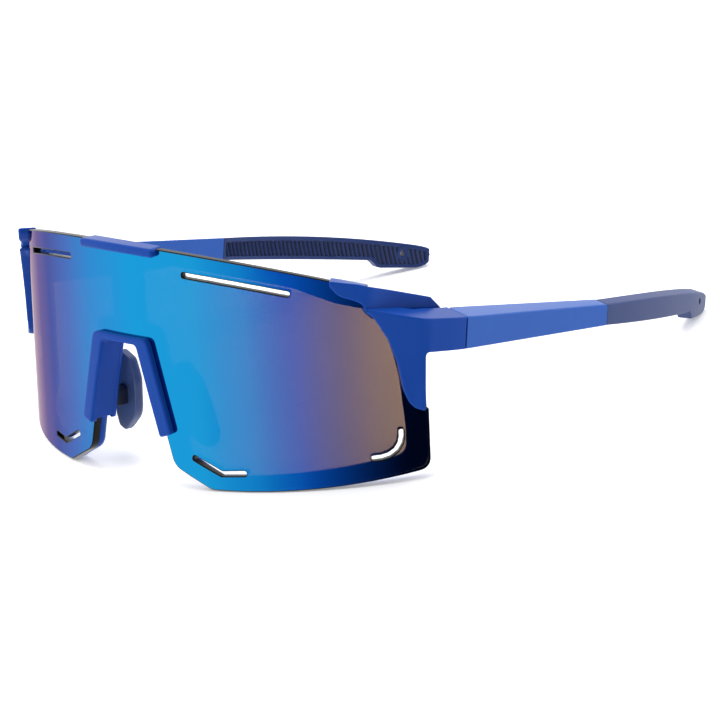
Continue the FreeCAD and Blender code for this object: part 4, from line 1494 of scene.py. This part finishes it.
@dataclass
class Temple:
    """One rigid temple and the rubber tip pushed onto it."""

    hinge: HingeFrame
    outer: float = 5.7
    width: float = 7.6
    half_height: float = 4.1
    crown: float = 0.22
    seam: float = -1.95
    length: float = 57.5
    end_width: float = 4.4
    end_half: float = 2.8
    toe_in: float = 1.7
    end_lift: float = 0.4
    slot_half: float = 1.85
    slot_reach: float = 2.25
    tip_length: float = 71.0
    tip_width: float = 4.2
    tip_start: float = 5.0
    tip_bend: float = 23.0
    tip_fall: float = 4.0
    belly_fall: float = 1.5
    heel_depth: float = 2.3
    hole_setback: float = 8.6
    hole_radius: float = 0.75
    rib_pitch: float = 1.4
    rib_height: float = 0.42

    @property
    def end(self) -> float:
        """Where the rigid part ends, along the temple."""
        return self.seam + self.length

    def outer_at(self, y: float) -> float:
        """The outer side's place across."""
        return self.outer - self.toe_in * (y - self.seam) / self.length

    def inner_at(self, y: float) -> float:
        """The inner side's place across."""
        narrow = (self.width - self.end_width) * (y - self.seam) / self.length
        return self.outer_at(y) - self.width + narrow

    def bar_plan(self) -> list[Knot]:
        """The bar seen from above, with its front corner rounded about the hinge.

        Returns:
            The corners of the bar's plan.
        """
        reach = -self.seam
        nose = [
            Knot(-reach * math.sin(math.radians(turn)), -reach * math.cos(math.radians(turn)))
            for turn in (5, 20, 35, 50, 65)
        ]
        return [
            Knot(self.outer, self.seam),
            *[Knot(self.outer_at(y), y) for y in (self.slot_reach, self.end)],
            *[Knot(self.inner_at(y), y) for y in (self.end, self.slot_reach, 0.6)],
            *reversed(nose),
        ]

    def bar(self) -> bpy.types.Object:
        """The tapered bar with its fork for the hinge knuckle.

        Returns:
            The bar.
        """
        plate = Plate(
            self.bar_plan(), -self.half_height, self.half_height, front_edge=0.55, back_edge=0.45,
            column=99.0, row=3.0, segments=3,
        )
        bm = plate.solid()
        for depth in (self.slot_half, -self.slot_half):
            cut_across(bm, None, Vector((0, depth, 0)), Vector((0, 1, 0)))
        cut_across(bm, None, Vector((0, 0, self.slot_reach)), Vector((0, 0, 1)))
        cut_across(bm, None, Vector((self.slot_reach, 0, 0)), Vector((1, 0, 0)))
        self.carve_fork(bm)
        for vert in bm.verts:
            vert.co = self.bar_place(vert.co)
        return as_object(bm, f"temple_bar_{self.hinge.side.word}", 40.0)

    def carve_fork(self, bm: bmesh.types.BMesh) -> None:
        """Opens the slot between the fork's cheeks and lines it.

        Args:
            bm: The flat bar, cut along the edges of the slot.
        """
        reach, half = self.slot_reach, self.slot_half

        def in_slot(vert: bmesh.types.BMVert) -> bool:
            """Whether a point is within the slot's reach in plan."""
            return vert.co.x < reach + SLIM and vert.co.z < reach + SLIM

        mouth = [
            face for face in bm.faces
            if abs(face.calc_center_median().y) < half
            and all(in_slot(vert) for vert in face.verts)
            and abs(face.normal.y) < 0.5
        ]
        bmesh.ops.delete(bm, geom=mouth, context="FACES")
        for depth in (-half, half):
            lip = [
                vert for vert in bm.verts
                if abs(vert.co.y - depth) < SLIM and in_slot(vert)
                and any(edge.is_boundary for edge in vert.link_edges)
            ]
            lip.sort(key=lambda vert: vert.co.x - vert.co.z)
            corner = bm.verts.new((reach, depth, reach))
            bm.faces.new([corner, *lip])
        side_wall = [
            edge for edge in bm.edges
            if edge.is_boundary and all(abs(vert.co.x - reach) < SLIM for vert in edge.verts)
        ]
        bmesh.ops.contextual_create(bm, geom=side_wall)
        bmesh.ops.holes_fill(bm, edges=[edge for edge in bm.edges if edge.is_boundary], sides=0)

    def bar_place(self, flat: Vector) -> Vector:
        """Places a point of the bar's prism: X across, Y down from the middle, Z along.

        Args:
            flat: A point of the bar's prism.

        Returns:
            Its place.
        """
        along = (flat.z - self.seam) / self.length
        half = self.half_height + (self.end_half - self.half_height) * along
        up = -flat.y / self.half_height
        level = self.end_lift * along + up * half
        level += eased(up, 0.3, 0.9) * self.crown * (self.outer_at(flat.z) - flat.x)
        return self.hinge.at(Vector((flat.x, flat.z, level)))

    def levels(self, share: float) -> Point:
        """Bottom and top of the tip at a share of its length.

        Args:
            share: Where along the tip, from 0 to 1.

        Returns:
            The bottom and the top.
        """
        share = max(share, 0.0)
        top = self.end_lift + self.end_half - self.tip_fall * share ** 2.4
        heel = eased(share, 0.73, 0.775)
        bottom = self.end_lift - self.end_half
        bottom -= self.belly_fall * min(share / 0.72, 1.0) + self.heel_depth * heel
        blunt = min(max((share - 0.93) / 0.07, 0.0), 1.0)
        drawn = self.heel_depth * (1.0 - math.sqrt(1.0 - 0.75 * blunt * blunt))
        top -= 0.4 * drawn
        bottom += 1.6 * drawn
        return bottom, top

    def tip_outline(self) -> list[Knot]:
        """The tip seen from the side, with its heel and its blunt end.

        Returns:
            The corners of the tip's side.
        """
        length = self.tip_length
        shares = [step / 60 for step in range(60)]
        over = [Knot(length * share, self.levels(share)[1]) for share in shares]
        under = [Knot(length * share, self.levels(share)[0]) for share in shares]
        bottom, top = self.levels(1.0)
        end = [Knot(length, top, 1.0), Knot(length, bottom, 1.0)]
        return over + end + under[::-1]

    def tip_place(self, flat: Vector) -> Vector:
        """Places a point of the tip: X along, Y in from the outer side, Z up.

        Args:
            flat: A point of the flat tip.

        Returns:
            Its place.
        """
        begin, turn = math.radians(self.tip_start), math.radians(self.tip_bend)
        bow = self.tip_length / turn
        angle = begin + turn * flat.x / self.tip_length
        x = self.outer - self.toe_in - self.end_width / 2
        x -= bow * (math.cos(begin) - math.cos(angle))
        y = self.end + bow * (math.sin(angle) - math.sin(begin))
        out = self.tip_width / 2 - flat.y
        straight = eased(flat.x, 0.0, 2.5)
        lean = Vector((math.cos(angle), math.sin(angle) * straight))
        bottom, top = self.levels(flat.x / self.tip_length)
        lift = eased(flat.z, top - 2.4, top - 0.6) * self.crown * flat.y
        return self.hinge.at(Vector((x + lean.x * out, y + lean.y * out, flat.z + lift)))

    def tip(self) -> bpy.types.Object:
        """The rubber tip with its ribbed inner side and strap hole.

        Returns:
            The tip.
        """
        spot = Vector((self.tip_length - self.hole_setback, self.end_lift - 0.62 * self.tip_fall))
        hole = [
            Knot(spot.x + self.hole_radius * math.cos(turn),
                 spot.y + self.hole_radius * math.sin(turn))
            for turn in (math.tau * step / 20 for step in range(20))
        ]
        plate = Plate(
            self.tip_outline(), 0.0, self.tip_width, [hole], front_edge=0.6, back_edge=0.5,
            column=2.2, row=99.0, segments=3, rounding=6,
        )
        bm = plate.solid()
        self.add_ribs(bm, spot)
        for vert in bm.verts:
            vert.co = self.tip_place(vert.co)
        return as_object(bm, f"tip_grip_{self.hinge.side.word}", 24.0)

    def add_ribs(self, bm: bmesh.types.BMesh, hole: Vector) -> None:
        """Raises leaning ribs on the side that rests on the head and keeps their depth for painted
        shade.

        Args:
            bm: The flat tip, before it is bent.
            hole: The strap hole's middle, which stays plain.
        """
        # Each point's groove depth is kept as the mask for the painted shade that darkens the
        # grooves.
        groove = bm.verts.layers.float.new("groove")
        bm.normal_update()
        inside = [
            face for face in bm.faces
            if face.normal.y > 0.9
            and all(abs(vert.co.y - self.tip_width) < SLIM for vert in face.verts)
        ]
        for border in (0.55, 0.15):
            bmesh.ops.inset_region(
                bm, faces=inside, thickness=border, depth=0.0, use_even_offset=True,
            )
        for face in inside:
            face.material_index = 1
        lean = Vector((1.0, 0.0, 0.32)).normalized()
        quarter = self.rib_pitch / 4
        for index in range(int(self.tip_length / quarter)):
            panel = [face for face in bm.faces if face.material_index == 1]
            cut_across(bm, panel, Vector((index * quarter, 0.0, 0.0)), lean)
        panel = [face for face in bm.faces if face.material_index == 1]
        verts = {vert for face in panel for vert in face.verts}
        for vert in verts:
            phase = (vert.co.dot(lean) / lean.x) / self.rib_pitch
            level = 0.5 - 0.5 * math.cos(math.tau * phase)
            away = (Vector((vert.co.x, vert.co.z)) - hole).length
            depth = (1.0 - level) * eased(away, 1.4, 2.2)
            vert.co.y -= self.rib_height * depth
            vert[groove] = depth
        for face in panel:
            face.material_index = 0

    def build(self) -> list[bpy.types.Object]:
        """Makes the bar and its tip.

        Returns:
            The bar and the tip.
        """
        word = self.hinge.side.word
        body = f"temple_{word}"
        bar, tip = self.bar(), self.tip()
        dress(bar, TEMPLE_BLUE)
        dress(tip, TIP_RUBBER)
        for piece in (bar, tip):
            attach(piece, body)
        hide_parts(f"temple_{word}")
        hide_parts(f"temple_tip_{word}")
        return [bar, tip]


# ------------------------------------------------------------------ the studio

@dataclass(frozen=True)
class Lamp:
    """One soft lamp of the studio."""

    name: str
    place: tuple[float, float, float]
    size: float
    watts: float
    colour: Colour = (1.0, 1.0, 1.0)

    def make(self) -> None:
        """Adds the lamp, aimed at the middle of the sunglasses."""
        light = bpy.data.lights.new(self.name, "AREA")
        light.shape = "DISK"
        light.size = self.size
        light.energy = self.watts
        light.color = self.colour
        lamp = bpy.data.objects.new(self.name, light)
        lamp.location = self.place
        lamp.rotation_mode = "QUATERNION"
        lamp.rotation_quaternion = (Vector((0, 0, 0.03)) - lamp.location).to_track_quat("-Z", "Y")
        lamp.visible_glossy = False
        bpy.context.scene.collection.objects.link(lamp)


@dataclass
class Studio:
    """A pale floor in a white light tent whose open side is dark."""

    floor_half: float = 4.0
    floor_colour: Colour = (0.93, 0.93, 0.94)
    floor_glow: float = 0.25
    walls: tuple[tuple[float, Colour], ...] = (
        (0.05, (1.1, 1.1, 1.1)), (0.39, (0.98, 0.98, 0.98)), (0.656, (0.75, 0.75, 0.76)),
        (0.829, (0.33, 0.33, 0.35)), (0.906, (0.15, 0.15, 0.17)), (0.966, (0.03, 0.03, 0.035)),
        (1.0, (0.012, 0.010, 0.014)),
    )
    open_side: tuple[float, float, float] = (0.94, -0.342, 0.0)
    lamps: tuple[Lamp, ...] = (
        Lamp("top_softbox", (-0.2, 0.1, 1.6), 1.4, 14.0),
        Lamp("front_softbox", (-1.1, -1.2, 1.0), 1.0, 5.0),
        Lamp("rear_softbox", (0.5, 1.9, 0.7), 1.2, 14.0),
    )

    def floor(self) -> None:
        """The floor, which the glossy pieces don't mirror."""
        bm = bmesh.new()
        bmesh.ops.create_grid(bm, x_segments=8, y_segments=8, size=self.floor_half)
        mesh = bpy.data.meshes.new("studio_floor")
        bm.to_mesh(mesh)
        bm.free()
        floor = bpy.data.objects.new("studio_floor", mesh)
        bpy.context.scene.collection.objects.link(floor)
        material = bpy.data.materials.new("pale_floor")
        material.use_nodes = True
        shader = material.node_tree.nodes["Principled BSDF"]
        shader.inputs["Base Color"].default_value = (*self.floor_colour, 1.0)
        shader.inputs["Roughness"].default_value = 0.9
        shader.inputs["Specular IOR Level"].default_value = 0.0
        shader.inputs["Emission Color"].default_value = (1.0, 1.0, 1.0, 1.0)
        shader.inputs["Emission Strength"].default_value = self.floor_glow
        mesh.materials.append(material)
        floor.visible_glossy = False

    def world(self) -> None:
        """The tent's walls, which fade to dark on the open side."""
        world = bpy.data.worlds.new("light_tent")
        world.use_nodes = True
        bpy.context.scene.world = world
        nodes = Nodes(world.node_tree)
        background = world.node_tree.nodes["Background"]
        place = nodes.add("TexCoord")
        flat = nodes.add("VectorMath", operation="MULTIPLY")
        flat.inputs[1].default_value = (1.0, 1.0, 0.35)
        nodes.link(place.outputs["Generated"], flat.inputs[0])
        even = nodes.add("VectorMath", operation="NORMALIZE")
        nodes.link(flat.outputs[0], even.inputs[0])
        toward = nodes.add("VectorMath", operation="DOT_PRODUCT")
        toward.inputs[1].default_value = Vector(self.open_side).normalized()
        nodes.link(even.outputs[0], toward.inputs[0])
        walls = nodes.add("ValToRGB")
        ramp(walls, list(self.walls))
        nodes.link(toward.outputs["Value"], walls.inputs["Fac"])
        nodes.link(walls.outputs["Color"], background.inputs["Color"])
        background.inputs["Strength"].default_value = 1.0

    def build(self) -> None:
        """Makes the floor, the tent and the lamps."""
        self.floor()
        self.world()
        for lamp in self.lamps:
            lamp.make()


@dataclass
class Viewpoint:
    """The camera: in front of the wearer's left, a little above, slightly rolled."""

    place: tuple[float, float, float] = (0.74097, -0.75286, 0.35327)
    azimuth: float = 44.49
    elevation: float = 18.254
    roll: float = -6.52
    focal: float = 204.56
    sensor: float = 36.0

    def build(self) -> None:
        """Makes the camera and gives it to the scene."""
        data = bpy.data.cameras.new("camera")
        data.lens = self.focal
        data.sensor_width = self.sensor
        data.clip_start, data.clip_end = 0.05, 50.0
        camera = bpy.data.objects.new("camera", data)
        turn = (
            Matrix.Rotation(math.radians(self.azimuth), 4, "Z")
            @ Matrix.Rotation(math.radians(90.0 - self.elevation), 4, "X")
            @ Matrix.Rotation(math.radians(self.roll), 4, "Z")
        )
        camera.matrix_world = Matrix.Translation(self.place) @ turn
        bpy.context.scene.collection.objects.link(camera)
        bpy.context.scene.camera = camera
        bpy.context.scene.view_settings.view_transform = "Standard"


# ------------------------------------------------------------------ the whole pair

def carried_over(frame: dict) -> None:
    """Gives the metal parts of the hinges, which stay as the frame has them, their finishes.
    """
    for side in Side:
        dress(frame["nodes"][f"hinge_screw_{side.word}"], SCREW_STEEL)
        dress(frame["nodes"][f"hinge_insert_{side.word}"], INSERT_BRASS)


def main() -> None:
    """Builds the pair of sunglasses and the studio round it."""
    logging.basicConfig(level=logging.INFO, format="%(name)s: %(message)s")
    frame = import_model()
    joints = {joint["name"]: joint for joint in frame["joints"]}
    hinges = {side: HingeFrame(joints[f"temple_fold_{side.word}"], side) for side in Side}
    sizes, curve = FrontSizes(), FrontCurve()
    Viewpoint().build()
    pieces = [ShieldLens(sizes, curve).build()]
    pieces += FrontFrame(sizes, curve, hinges).build()
    pieces += NosePiece(sizes, curve).build()
    for side in Side:
        pieces += Temple(hinges[side]).build()
    carried_over(frame)
    Studio().build()
    for piece in pieces:
        LOG.info("%s: %d faces", piece.name, len(piece.data.polygons))


if __name__ == "__main__":
    main()
